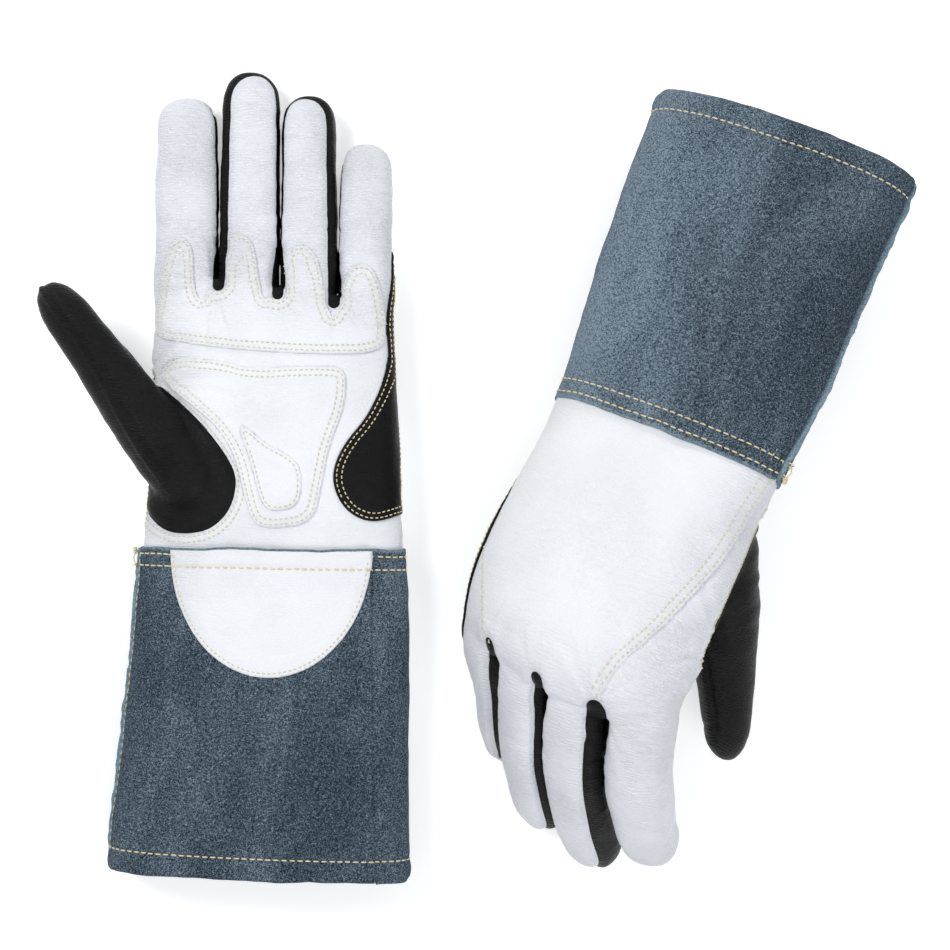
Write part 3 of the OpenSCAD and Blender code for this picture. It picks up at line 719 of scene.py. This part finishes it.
def displaced(g, m):
    """The skin with its seams drawn in and its folds raised."""
    a, v = m["a"], m["v"]
    x, s, h = v.T
    n = normals(v, m["f"])
    d = np.zeros(len(v))
    warp = fbm(v / 22, 11)
    # broad puckers and cross wrinkles
    d += 0.42 * fbm(v / np.array([28, 20, 22]), 21)
    cross = fbm(cells(x / 17, s / 4.2 + 0.7 * warp, h / 17), 31)
    on_finger = smooth_step(s, PALM_LEN - 22, PALM_LEN + 4)
    d += cross * (0.10 + 0.11 * on_finger)
    # puckers that run out from the forks on the back, and from the thumb's crotch
    fx, fs = fork_x(g), fork_s(g)
    middles = [(fx[0], fs[0] - 4, 34, 0.5), (fx[1], fs[1] - 4, 22, 0.3), (fx[2], fs[2] - 4, 20, 0.3),
               (-palm_w(g) / 2 - 6, 74, 52, 0.75)]
    on_panels = (a["four"] < -1.5) & (a["thumb"] < 0)
    for k, (cx, cs, reach, size) in enumerate(middles):
        r, th = np.hypot(x - cx, s - cs), np.arctan2(x - cx, s - cs)
        ray = fbm(cells(th * 5.5, r / 60, k), 51 + k)
        d += size * ray * smooth_step(r, 3, 12) * (1 - smooth_step(r, reach * 0.5, reach)) * on_panels
    # the thumb's seam stands up in a ridge, and its leather folds at the root
    u, ta, tb = thumb_place(g, v)
    ridge = ta - (9.0 - 7.0 * smooth_step(u, 10, 80)) * (1, -1)[g]
    on_thumb = smooth_step(a["thumb"], 0, 3) * (tb < 0)
    d += on_thumb * (0.9 * hump(ridge, 0, 1.3) - 0.5 * hump(ridge, 2.6, 1.8)) * smooth_step(u, -8, 12)
    crease = ta - (11.5 - 6.0 * smooth_step(u, 15, 90))
    behind = smooth_step(a["thumb"], 0, 3) * (tb > 0) * smooth_step(u, 6, 24) * smooth_step(u, 98, 82)
    d += behind * (0.45 * hump(crease, 2.2, 1.6) - 0.8 * hump(crease, 0, 0.9))
    folds = fbm(cells(u / 7.0, ta / 28, tb / 28), 57 + g)
    d += 0.45 * folds * smooth_step(a["thumb"], 0, 4) * (1 - smooth_step(u, 25, 60))
    # deeper folds over the knuckles and across each finger's joint
    for at, size in ((PALM_LEN - 16, 0.35), (PALM_LEN + 27, 0.55), (PALM_LEN + 34, 0.3)):
        wave = s - at + 2.5 * fbm(cells(x / 9, h / 30), 61)
        depth = 0.4 + 0.6 * noise(cells(x / 8, h / 12, at), 62)
        d -= size * hump(wave, 0, 1.3) * depth
    # turned seams pull the leather in, and it swells beside them
    for name, depth in (("four", 0.7), ("thumb", 1.0)):
        d += -depth * hump(a[name], 0, 1.4) + 0.3 * hump(np.abs(a[name]), 3.4, 2.0)
    # the back panel laps over the palm panel at their thumb-side seam
    f = a["back"]
    lap = np.where(f > 0, 0.9 * np.exp(-f / 9.0), -0.25 * np.exp(f / 2.5))
    d += lap * (a["four"] < -1) * smooth_step(x, 26, 12)
    m["v"] = v + n * d[:, None]
    return m


def make_skin(g):
    """The hand with its fingers and thumb, open at the wrist, with the values of its panels."""
    v, f = remeshed(*skin_volume(g))
    thumb_like = (v[:, 1] > THUMB_FREE_S) & (thumb_distance(g, v) < 6) & (hand_distance(g, v) > HAND_CLEAR)
    off = spread(g, v[:, 0], v[:, 1], True)
    v[:, 0] -= np.where(thumb_like, 0, off)
    kept = v[f].mean(1)[:, 1] > -CUFF_LAP + 1.2
    m = compact({"v": v, "f": f, "a": {}}, f[kept])
    m["a"] = fields(g, m["v"])
    return displaced(g, m)


# -------- The cuff: one sheet of suede, folded in at the mouth

HEM = 9.5
FOLD_S, FOLD_R, FOLDED_TO = 2.0 - CUFF_LEN, 2.0, HEM + 1 - CUFF_LEN
WRIST_ROWS = (-3.2, -8.8)
SEAM_H = (6.5, 0.0)
WRIST_PATCH_W, WRIST_PATCH_LEN, PATCH_EDGE = 44.5, 56, 0.7


def cuff_sheet(g):
    """The suede from the wrist to the mouth, round the fold there, and a little way back inside."""
    n = CUFF_POINTS
    rows = [(s, SUEDE) for s in np.linspace(0, FOLD_S, int(-FOLD_S / CUFF_STEP) + 1)]
    rows += [(FOLD_S - FOLD_R * math.sin(a), SUEDE - FOLD_R + FOLD_R * math.cos(a))
             for a in np.radians([25, 55, 90, 125, 155])]
    rows += [(s, SUEDE - 2 * FOLD_R) for s in np.linspace(FOLD_S, FOLDED_TO, 6)]
    v, outer = [], []
    for s, d in rows:
        x, h = ring(float(hand_w(g, s)) + 2 * d, float(hand_t(g, s)) + 2 * d, 0.8, n)
        v.append(np.stack([x, np.full(n, s), h], 1))
        outer.append(np.full(n, float(d > 0)))
    k = np.arange((len(rows) - 1) * n)
    j = k - k % n + (k % n + 1) % n
    f = np.concatenate([np.stack([k, j + n, k + n], 1), np.stack([k, j, j + n], 1)])
    v = np.concatenate(v)
    x, s, h = v.T
    w = hand_w(g, s)
    a = {"outer": np.concatenate(outer), "flat": v.copy()}
    seam_h = SEAM_H[g]
    a["palm"] = np.where(x < 0, -(h - seam_h) - 0.6, np.minimum(w / 2 - CUFF_WRAP - x, -h - 0.6))
    e = np.hypot(x / (WRIST_PATCH_W * WIDTH_SHARE[g]), (s + 1) / WRIST_PATCH_LEN)
    a["wrist"] = np.where((h < 0) & (a["outer"] > 0.5), np.minimum((1 - e) * 46, -1.0 - s), -20)
    # broad and small folds, the swollen hem, and the hollows that rows of stitches pull
    d = 0.9 * fbm(v / np.array([55, 48, 40]), 5 + g, 3) + 0.25 * fbm(v / 9, 15 + g)
    on = a["outer"]
    d += on * (0.55 * hump(s, 4.8 - CUFF_LEN, 2.6) - 0.5 * hump(s + CUFF_LEN, HEM, 0.9))
    for row in WRIST_ROWS:
        d -= on * 0.35 * hump(s, row, 0.8)
    # the palm half laps over the back half at its outer edge, and meets it at the welt
    q = a["palm"]
    lap = np.where(q > 0, np.exp(-q / 7.0) * smooth_step(q, -0.2, 0.5), -0.5 * np.exp(q / 2.5))
    pinch = -0.9 * hump(q, 0, 1.5) + 0.35 * hump(np.abs(q), 3.5, 2)
    d += np.where(x > 0, lap, pinch)
    v = v + normals(v, f) * (d * np.where(on > 0.5, 1, -1))[:, None]
    # the raw edge at the wrist isn't cut quite straight
    v[:, 1] += smooth_step(s, -12, 0) * 0.5 * fbm(cells(x / 11, h / 11), 44 + g)
    return {"v": v, "f": f, "a": a}


def outer_side(m):
    """The cuff without its folded-in hem."""
    return compact(m, m["f"][m["a"]["outer"][m["f"]].min(1) > 0.5])


def raised(m, name, low, high):
    """A layer of leather: the part of m where value name is above 0, lifted by high with a rounded edge."""
    part, _ = cut(m, name)
    n = normals(part["v"], part["f"])
    f = part["a"][name]
    rise = low + (high - low) * np.sqrt(np.clip(1 - (1 - np.clip(f / PATCH_EDGE, 0, 1)) ** 2, 0.25, 1))
    rise += 0.22 * hump(f, 5.2, 1.6) - 0.25 * hump(f, 1.6, 0.8)
    part["v"] = part["v"] + n * rise[:, None]
    return part


# -------- Threads

def resampled(points, norms, step):
    """A row of points and its normals at even steps, smoothed."""
    d = np.r_[0, np.cumsum(np.linalg.norm(np.diff(points, axis=0), axis=1))]
    t = np.arange(0, d[-1], step)
    p = np.stack([np.interp(t, d, points[:, k]) for k in range(3)], 1)
    n = np.stack([np.interp(t, d, norms[:, k]) for k in range(3)], 1)
    for _ in range(3):
        p[1:-1] = (p[:-2] + 2 * p[1:-1] + p[2:]) / 4
        n[1:-1] = (n[:-2] + 2 * n[1:-1] + n[2:]) / 4
    return p, unit(n)


# One stitch: shares of its length, its thickness there and its height, both in thread radii
STITCH = np.array([(0.0, 0.35, -1.6), (0.1, 0.85, -0.5), (0.3, 1.0, 0.35), (0.5, 1.0, 0.5),
                   (0.7, 1.0, 0.35), (0.9, 0.85, -0.5), (1.0, 0.35, -1.6)])
STITCH_SIDES, ROW_STEP, SHORTEST_ROW = 6, 0.2, 12


def stitch_rows(rows, pitch, dash, r, seed, lift):
    """Stitches along rows of points, as one mesh of short threads whose ends dip into the leather."""
    rng = np.random.default_rng(seed)
    share, thick, high = STITCH.T
    sides, k = STITCH_SIDES, len(STITCH)
    turn = np.arange(sides) * 2 * math.pi / sides
    cos, sin = np.cos(turn)[None, :, None], np.sin(turn)[None, :, None]
    faces = sleeve(k, sides) + [tuple(range(sides))[::-1], tuple(range((k - 1) * sides, k * sides))]
    vs, fs, base = [], [], 0
    for pts, nrm in rows:
        p, n = resampled(pts, nrm, ROW_STEP)
        count = int((len(p) - 1) * ROW_STEP / pitch)
        for c in range(count):
            start = (c + 0.5 * (1 - dash / pitch) + rng.uniform(-0.04, 0.04)) * pitch
            i = np.clip((start + share * dash) / ROW_STEP, 0, len(p) - 1.001)
            j, w = i.astype(int), (i - i.astype(int))[:, None]
            q = p[j] * (1 - w) + p[j + 1] * w
            m = n[j]
            tan = q[-1] - q[0]
            length = np.linalg.norm(tan)
            if length < dash * 0.5:
                continue
            tan /= length
            side = unit(np.cross(tan, m))
            skew = rng.uniform(-0.12, 0.12) * r
            core = q + m * ((high * r + lift)[:, None]) + side * skew
            around = cos * side[:, None] + sin * m[:, None]
            vs.append((core[:, None] + (r * thick)[:, None, None] * around).reshape(-1, 3))
            fs += [tuple(corner + base for corner in face) for face in faces]
            base += k * sides
    return np.concatenate(vs), fs


# -------- Materials: flat space, in metres, is kept on the leather for its grain

class Net:
    """The shader nodes of a material or world."""

    def __init__(self, tree):
        self.tree = tree

    def feed(self, node, inputs):
        """Gives the node's inputs their values, or links them to what other nodes put out."""
        for key, value in inputs.items():
            if isinstance(value, bpy.types.NodeSocket):
                self.tree.links.new(value, node.inputs[key])
            else:
                node.inputs[key].default_value = value
        return node

    def add(self, kind, inputs, output=None, **settings):
        """A new node, with its settings made and its inputs fed; gives back one output, or all of them."""
        node = self.tree.nodes.new("ShaderNode" + kind)
        for key, value in settings.items():
            setattr(node, key, value)
        outputs = self.feed(node, inputs).outputs
        return outputs if output is None else outputs[output]

    def noise(self, vector, scale, detail=2.0, rough=0.5, distortion=0.0):
        return self.add("TexNoise", {"Vector": vector, "Scale": scale, "Detail": detail, "Roughness": rough,
                                     "Distortion": distortion}, "Fac")

    def remap(self, value, a, b, c=0.0, d=1.0):
        ends = {"From Min": a, "From Max": b, "To Min": c, "To Max": d}
        return self.add("MapRange", {"Value": value, **ends}, "Result")

    def math(self, op, a, b=0.0):
        return self.add("Math", {0: a, 1: b}, 0, operation=op)

    def times(self, a, b):
        return self.math("MULTIPLY", a, b)

    def total(self, *parts):
        """Values added up, each times its share."""
        value = self.times(*parts[0])
        for part in parts[1:]:
            value = self.math("ADD", value, self.times(*part))
        return value

    def mix(self, fac, a, b):
        return self.add("Mix", {0: fac, 6: a, 7: b}, 2, data_type="RGBA")

    def scaled(self, vector, scale):
        return self.add("Mapping", {"Vector": vector, "Scale": scale}, "Vector")

    def split(self, vector):
        return self.add("SeparateXYZ", {"Vector": vector})

    def bump(self, strength, distance, height):
        return self.add("Bump", {"Strength": strength, "Distance": distance, "Height": height}, 0)

    def flat(self):
        return self.add("Attribute", {}, "Vector", attribute_name="flat")

    def object_place(self):
        return self.add("TexCoord", {}, "Object")


def new_material(name):
    mat = bpy.data.materials.new(name)
    mat.use_nodes = True
    return mat, Net(mat.node_tree), mat.node_tree.nodes["Principled BSDF"]


def linear(r, g, b):
    """A colour given in sRGB levels of 0 to 255."""
    levels = [((c / 255 + 0.055) / 1.055) ** 2.4 if c > 10 else c / 255 / 12.92 for c in (r, g, b)]
    return (*levels, 1.0)


def goatskin(name, light, dark, rough, grain, spec=0.35, crease=0.25):
    """Smooth leather with pores, wrinkles, and small waves where it bends, with painted shade darkening the
    hollows of its wrinkles and waves.
    """
    mat, net, shader = new_material(name)
    at = net.flat()
    pebble = net.add("TexVoronoi", {"Vector": at, "Scale": 1150.0, "Randomness": 0.9}, "Distance",
                     feature="SMOOTH_F1")
    fine = net.noise(at, 2300.0)
    # two crossing sets of fine wrinkles drawn out across the hand, and a coarse one
    sets = []
    for scale, bend in (((260, 700, 260), 1.2), ((420, 520, 420), 1.6), ((45, 170, 45), 1.0)):
        ridge = net.noise(net.scaled(at, scale), 1.0, 3.0, 0.6, bend)
        sets.append(net.remap(net.math("ABSOLUTE", net.math("SUBTRACT", ridge, 0.5)), 0.0, 0.10))
    cross = net.total((sets[0], 0.5), (sets[1], 0.5))
    # small waves across the fingers and beside the thumb, where the leather bends
    x, y, _ = net.split(at)
    bends = net.math("MAXIMUM", net.remap(y, 0.085, 0.13), net.remap(x, -0.022, -0.044, 0.0, 0.8))
    bends = net.math("MAXIMUM", bends, 0.12)
    waves = net.add("TexWave", {"Vector": at, "Scale": 245.0, "Distortion": 7.5, "Detail": 2.5,
                                "Detail Scale": 1.1, "Detail Roughness": 0.6}, "Fac", bands_direction="Y")
    waves = net.times(waves, net.remap(net.noise(at, 160.0), 0.35, 0.6, 0.25, 1.0))
    where = net.remap(net.noise(at, 30.0), 0.40, 0.60, 0.3, 1.0)
    where = net.times(where, net.remap(bends, 0.12, 0.8, 0.4, 1.0))
    tone = net.remap(net.noise(at, 40.0, 4.0, 0.55), 0.3, 0.7)
    fleck = net.remap(net.noise(at, 1300.0), 0.3, 0.7)
    # painted shade: the hollows of the waves and of the fine wrinkles are darkened towards dark; crease sets
    # how dark the wrinkles get
    wave_hollow_shade = net.times(net.math("SUBTRACT", 1.0, waves), bends)
    wrinkle_shade = net.times(net.math("SUBTRACT", 1.0, cross), net.times(where, crease))
    base = net.mix(net.times(tone, 0.12), light, dark)
    base = net.mix(net.times(wave_hollow_shade, 0.38), base, dark)
    base = net.mix(wrinkle_shade, base, dark)
    height = net.total((pebble, 0.5), (fine, 0.2), (net.times(cross, where), 0.75),
                       (net.times(sets[2], where), 0.45), (net.times(waves, bends), 0.95))
    net.feed(shader, {"Base Color": net.mix(net.times(fleck, 0.14), base, dark),
                      "Normal": net.bump(grain, 0.0004, height),
                      "Roughness": net.remap(fleck, 0.0, 1.0, rough - 0.06, rough + 0.08),
                      "Specular IOR Level": spec})
    return mat


def suede(name, light, mid, dark, fuzz, raw=None):
    """Split leather: specks of nap, brushed along the cuff."""
    mat, net, shader = new_material(name)
    at = net.flat()
    speck = net.remap(net.noise(at, 2100.0, 2.0, 0.8), 0.38, 0.62)
    fleck = net.remap(net.noise(at, 950.0, 3.0, 0.8), 0.36, 0.64)
    brushed = net.remap(net.noise(net.scaled(at, (26.0, 9.0, 26.0)), 1.0, 5.0, 0.6, 0.5), 0.36, 0.66)
    tone = net.total((speck, 0.5), (fleck, 0.32), (brushed, 0.18))
    # paler towards the little finger's side and the wrist, on the back
    x, y, z = net.split(at)
    pale = net.remap(net.math("ADD", x, net.times(y, 0.35)), -0.05, 0.05, 0.0, 0.2)
    tone = net.math("ADD", tone, net.times(pale, net.remap(z, -0.002, 0.01)))
    base = net.mix(net.remap(tone, 0.18, 0.52), dark, mid)
    base = net.mix(net.remap(tone, 0.52, 0.88), base, light)
    if raw:
        # the cut edge at the wrist shows the paler inside of the hide
        edge = net.remap(net.math("ADD", y, net.times(speck, 0.0009)), -0.0011, -0.0003, 0.0, 0.75)
        base = net.mix(net.times(edge, net.remap(fleck, 0.0, 1.0, 0.35, 1.0)), base, raw)
    height = net.total((speck, 0.5), (fleck, 0.5))
    net.feed(shader, {"Base Color": base, "Normal": net.bump(0.5, 0.0005, height), "Roughness": 0.95,
                      "Specular IOR Level": 0.12, "Sheen Weight": fuzz, "Sheen Roughness": 0.5,
                      "Sheen Tint": linear(150, 165, 180)})
    return mat


def thread(name, light, dark):
    """Spun thread with its plies."""
    mat, net, shader = new_material(name)
    at = net.object_place()
    ply = net.remap(net.noise(at, 3200.0), 0.35, 0.65)
    tone = net.remap(net.noise(at, 300.0), 0.35, 0.65)
    base = net.mix(net.times(tone, 0.4), net.mix(ply, dark, light), light)
    net.feed(shader, {"Base Color": base, "Normal": net.bump(0.4, 0.0002, ply), "Roughness": 0.7})
    return mat


# Each leather's look, and a name for it
# each goatskin's dark colour is its random tone and also the painted shade in its wrinkles and wave hollows
WHITE = (goatskin("white_goatskin", linear(247, 248, 251), linear(206, 211, 221), 0.5, 0.75),
         "white_goatskin")
BLACK = (goatskin("black_goatskin", linear(12, 12, 13), linear(6, 6, 7), 0.33, 0.9, 0.12), "black_goatskin")
SLATE = (suede("slate_suede", linear(146, 165, 180), linear(67, 81, 93), linear(13, 21, 28), 0.06,
               linear(150, 172, 184)), "cuff_suede")
RAW = (suede("raw_welt", linear(176, 196, 206), linear(136, 160, 174), linear(84, 106, 122), 0.08),
       "welt_leather")
CREAM = thread("cream_thread", linear(250, 238, 196), linear(206, 188, 138))
PALE = thread("pale_thread", linear(238, 234, 200), linear(204, 196, 152))


# -------- Pieces

def smooth_object(name, v, f):
    mesh = make_mesh(name, v * MM, f)
    mesh.polygons.foreach_set("use_smooth", np.ones(len(mesh.polygons), bool))
    return placed(name, mesh)


def turned(g, f):
    """The left glove is a mirror image, so its faces turn over."""
    if g == RIGHT:
        return f
    return f[:, ::-1] if hasattr(f, "ndim") else [face[::-1] for face in f]


def dress(g, obj, look, slot):
    obj.data.materials.append(look)
    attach(obj, SIDES[g] + "_glove")


def leather_piece(g, name, m, leather, thick):
    """A visible leather piece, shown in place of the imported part's piece of that name."""
    v = to_table(g, m["v"])
    if "outer" in m["a"]:
        # the cuff's folded-in hem keeps its thickness above the table
        v[:, 2] = np.maximum(v[:, 2], np.where(m["a"]["outer"] > 0.5, 0, thick + 0.2))
    obj = smooth_object(f"{SIDES[g]}_{name}_looks", v, turned(g, m["f"]))
    flat = obj.data.attributes.new("flat", "FLOAT_VECTOR", "POINT")
    flat.data.foreach_set("vector", (m["a"]["flat"] * MM).astype(np.float32).ravel())
    if thick:
        mod = obj.modifiers.new("thickness", "SOLIDIFY")
        mod.thickness, mod.offset = thick * MM, -1.0
    dress(g, obj, *leather)
    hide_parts(f"{SIDES[g]}_{name}")


def thread_piece(g, name, made, look, leather):
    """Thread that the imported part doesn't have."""
    v, f = made
    obj = smooth_object(f"{SIDES[g]}_{name}", to_table(g, v), turned(g, f))
    dress(g, obj, look, leather[1])


# Two sizes of stitch, and the welt's outline: across it, and out from the seam
FINE = {"pitch": 2.35, "dash": 1.65, "r": 0.27, "lift": 0.1}
COARSE = {"pitch": 3.5, "dash": 2.75, "r": 0.34, "lift": 0.1}
WELT_SECTION = [(-1, -1.8), (-1, 0), (-0.96, 0.55), (-0.75, 0.9), (-0.3, 1), (0.3, 1.02), (0.8, 0.88),
                (1, 0.5), (1, 0), (1, -1.8)]
FAR = 999


def box(low, high):
    """Keeps the points between two corners."""
    return lambda p: ((p > low) & (p < high)).all(1)


def welt_piece(g, cuff):
    """The piping: a strip of raw split between the two halves of the cuff."""
    rows = lines(cuff, "palm", 0.0, box((-FAR, -FAR, -FAR), (0, FAR, FAR)))
    pts, nrm = max(rows, key=lambda r: np.ptp(r[0][:, 1]))
    if pts[0, 1] > pts[-1, 1]:
        pts, nrm = pts[::-1], nrm[::-1]
    keep = pts[:, 1] > -CUFF_LEN + 1.5
    p, n = resampled(pts[keep], nrm[keep], 1.0)
    s = p[:, 1]
    grow = smooth_step(s, -CUFF_LEN, -CUFF_LEN + 16) * (0.45 + 0.55 * smooth_step(s, 2, -10))
    wob = fbm(cells(s / 5, 0), 71 + g, 3)
    out = (0.9 + 1.9 * grow) * (1 + 0.14 * wob)
    half = (0.75 + 0.45 * grow) * (1 + 0.1 * wob)
    side = np.cross(unit(np.gradient(p, axis=0)), n)
    v, f = tube([p[i] + np.array([side[i] * half[i] * a + n[i] * (out[i] * b if b > 0 else b)
                                  for a, b in WELT_SECTION]) for i in range(len(p))])
    m = {"v": v, "f": f, "a": {"flat": v}}
    leather_piece(g, "cuff_welt", m, RAW, 0)


def tack_piece(g):
    """The two wrist rows end in a bar tack over the welt, with a knot at the corner."""
    edge = -(hand_w(g, 0.0) / 2 + SUEDE)
    h, (near, far) = SEAM_H[g], WRIST_ROWS
    bars = [(far, far - 0.5, h + 4, h - 4), (far, near + 1, h - 3, h + 0.5),
            (near, near + 0.6, h + 4, h - 3.5), (near - 0.6, near + 1.4, h - 1.5, h - 1.0)]
    t = np.linspace(0, 1, 14)
    paths = [np.stack([edge - 1.4 - 1.4 * np.sin(math.pi * t), s0 + (s1 - s0) * t, h0 + (h1 - h0) * t], 1)
             for s0, s1, h0, h1 in bars]
    turns = 2 * math.pi * 3.2 * np.linspace(0, 1, 60)
    paths.append(np.stack([edge - 2.2 - 0.5 * np.cos(turns * 1.7), near + 1.6 + 0.9 * np.cos(turns),
                           h - 1 + 1.1 * np.sin(turns)], 1))
    a = np.arange(7) * 2 * math.pi / 7
    parts = []
    for p in paths:
        tan = unit(np.gradient(p, axis=0))
        side = unit(np.cross(tan, [1.0, 0.2, 0.1]))
        parts.append(tube([q + 0.3 * (np.cos(a)[:, None] * u + np.sin(a)[:, None] * w)
                           for q, u, w in zip(p, side, np.cross(tan, side))]))
    thread_piece(g, "bar_tack", joined(parts), CREAM, SLATE)


def make_hand(g):
    """The panels and patches of the hand, with their rows of stitches."""
    skin = make_skin(g)
    # patches are laid on the skin before it is cut into panels
    upper = raised(skin, "upper", 0, PATCH)
    lower = raised(skin, "lower", 0, PATCH)
    centre = raised(skin, "centre", PATCH, 2 * PATCH)
    heel = raised(skin, "heel", 0, PATCH)
    thumb, rest = cut(skin, "thumb")
    back_half, front_half = cut(thumb, "thumb_seam")
    four, rest = cut(rest, "four")
    first, four = cut(four, "first_four")
    last, second = cut(four, "last_four")
    back, palm = cut(rest, "back")
    for name, m, leather, thick in (
            ("back_panel", back, WHITE, LEATHER), ("palm_panel", palm, WHITE, LEATHER),
            ("index_middle_fourchette", first, BLACK, LEATHER),
            ("middle_ring_fourchette", second, BLACK, LEATHER),
            ("ring_little_fourchette", last, BLACK, LEATHER),
            ("thumb_back", back_half, BLACK, LEATHER), ("thumb_front", front_half, BLACK, LEATHER),
            ("upper_palm_patch", upper, WHITE, PATCH_T), ("lower_palm_patch", lower, WHITE, PATCH_T),
            ("centre_patch", centre, WHITE, PATCH_T), ("heel_patch", heel, BLACK, PATCH_T)):
        leather_piece(g, name, m, leather, thick)
    # stitches
    fx, fs = fork_x(g), fork_s(g)
    seam = []
    for at, over in ((1.4, 2), (4.0, 4)):
        seam += lines(skin, "back", at, box((-FAR, -FAR, 1), (fx[0] + over, fs[0] - 8, FAR)))
    side = lines(skin, "back", 1.2, box((20, 66, 2), (FAR, fs[2] - 4, FAR)))
    rim = lines(skin, "thumb", -1.6) + lines(skin, "thumb", -4.0)
    for seed, name, rows in ((3, "back_seam", seam), (4, "little_seam", side), (5, "thumb_rim", rim)):
        thread_piece(g, name + "_thread", stitch_rows(rows, seed=seed, **FINE), PALE, WHITE)
    for name, m, at, look, leather in (
            ("upper", upper, (1.5, 3.9), PALE, WHITE), ("lower", lower, (1.5, 3.9), PALE, WHITE),
            ("centre", centre, (1.5,), PALE, WHITE), ("heel", heel, (1.4, 3.6), CREAM, BLACK)):
        rows = [row for c in at for row in lines(m, name, c)]
        thread_piece(g, name + "_patch_thread", stitch_rows(rows, seed=6, **FINE), look, leather)


def make_cuff(g):
    """The two halves of the cuff, the patch at its wrist, the welt and the stitches."""
    cuff = cuff_sheet(g)
    outer = outer_side(cuff)
    patch = raised(outer, "wrist", 0, PATCH)
    palm_half, back_half = cut(cuff, "palm")
    leather_piece(g, "cuff_back", back_half, SLATE, CUFF_T)
    leather_piece(g, "cuff_palm", palm_half, SLATE, CUFF_T)
    leather_piece(g, "wrist_patch", patch, WHITE, PATCH_T)
    welt_piece(g, outer)
    outer["a"]["hem"] = outer["a"]["flat"][:, 1]
    hem = lines(outer, "hem", HEM - CUFF_LEN)
    thread_piece(g, "hem_thread", stitch_rows(hem, seed=8, **COARSE), CREAM, SLATE)
    beside = lines(outer, "palm", 2.0, box((-FAR, 6 - CUFF_LEN, -FAR), (0, -2, FAR)))
    thread_piece(g, "cuff_seam_thread", stitch_rows(beside, seed=11, **COARSE), CREAM, SLATE)
    tack_piece(g)
    # one wrist row stops at the patch, the other runs over it
    rise = PATCH * smooth_step(outer["a"]["wrist"], -0.6, 0.3)
    lifted = outer["v"] + normals(outer["v"], outer["f"]) * rise[:, None]
    covered = {"v": lifted, "f": outer["f"], "a": outer["a"]}
    half = WRIST_PATCH_W * WIDTH_SHARE[g]
    rows = lines(outer, "hem", WRIST_ROWS[0], lambda p: (p[:, 2] > 0) | (np.abs(p[:, 0]) > half))
    rows += lines(covered, "hem", WRIST_ROWS[1])
    thread_piece(g, "wrist_thread", stitch_rows(rows, seed=9, **{**COARSE, "lift": 0.2}), CREAM, SLATE)
    rows = lines(patch, "wrist", 1.6, box((-FAR, -FAR, -FAR), (FAR, -3, FAR)))
    thread_piece(g, "wrist_patch_thread", stitch_rows(rows, seed=10, **FINE), PALE, WHITE)


for glove in (RIGHT, LEFT):
    make_hand(glove)
    make_cuff(glove)

# -------- Camera, floor and light

# The camera looks straight down on the middle of the gloves; VIEW metres fill the picture at ABOVE
LENS, SENSOR, VIEW, ABOVE = 85.0, 36.0, 0.412, 0.05
# Lamps: name, place, aim, size, power and colour
LAMPS = [("key", (-0.8, 0.6, 1.15), (0.05, 0, 0), 0.5, 9.9, (1, 1, 1)),
         ("fill", (0.5, -1.0, 1.1), (0, -0.05, 0), 1.0, 9.2, (0.97, 0.98, 1.0)),
         ("edge", (0.55, 1.1, 0.6), (0.1, 0, 0.04), 0.4, 4.0, (1, 1, 1))]
# The world's light on the gloves, half the floor's side in metres, and the floor's glow as the camera
# sees it at two distances from its middle
SKY_LIGHT = 0.385
FLOOR_HALF, FLOOR_NEAR, FLOOR_FAR = 3.0, (0.5, 0.44), (2.0, 0.68)


def camera():
    low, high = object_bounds()
    mid = (low + high) / 2
    data = bpy.data.cameras.new("camera")
    data.lens, data.sensor_width, data.clip_end = LENS, SENSOR, 20
    obj = placed("camera", data)
    obj.location = (mid.x, mid.y, VIEW * LENS / SENSOR + ABOVE)
    bpy.context.scene.camera = obj


def lamp(name, place, aim, size, power, color):
    data = bpy.data.lights.new(name, "AREA")
    data.energy, data.size, data.color = power, size, color
    obj = placed(name, data)
    obj.location = place
    obj.rotation_euler = (Vector(aim) - Vector(place)).to_track_quat("-Z", "Y").to_euler()


def seen_directly(net, other, direct):
    """A strength for light on surfaces, and another for what the camera, gloss and glass see."""
    path = net.add("LightPath", {})
    seen = net.math("MAXIMUM", path["Is Camera Ray"], path["Is Glossy Ray"])
    return net.remap(net.math("MAXIMUM", seen, path["Is Transmission Ray"]), 0.0, 1.0, other, direct)


def floor():
    """Its glow is seen but lights nothing, and grows beyond the lamps to the background's white."""
    a = FLOOR_HALF
    corners = np.array([[-a, -a, 0], [a, -a, 0], [a, a, 0], [-a, a, 0]])
    obj = placed("floor", make_mesh("floor", corners, [(0, 1, 2, 3)]))
    mat, net, shader = new_material("floor_white")
    far = net.add("VectorMath", {0: net.object_place()}, "Value", operation="LENGTH")
    (near_at, near), (far_at, white) = FLOOR_NEAR, FLOOR_FAR
    glow = net.times(seen_directly(net, 0.0, 1.0), net.remap(far, near_at, far_at, near, white))
    net.feed(shader, {"Base Color": (0.9, 0.9, 0.9, 1), "Roughness": 1.0, "Specular IOR Level": 0.0,
                      "Emission Color": (1, 1, 1, 1), "Emission Strength": glow})
    obj.data.materials.append(mat)
    obj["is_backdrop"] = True


def world():
    """Seen directly or in a reflection it is white, as the floor is."""
    w = bpy.data.worlds.new("studio")
    bpy.context.scene.world = w
    w.use_nodes = True
    net = Net(w.node_tree)
    net.feed(w.node_tree.nodes["Background"], {"Color": (0.96, 0.98, 1.0, 1),
                                               "Strength": seen_directly(net, SKY_LIGHT, 1.0)})


camera()
floor()
world()
for values in LAMPS:
    lamp(*values)
bpy.context.scene.view_settings.view_transform = "Standard"
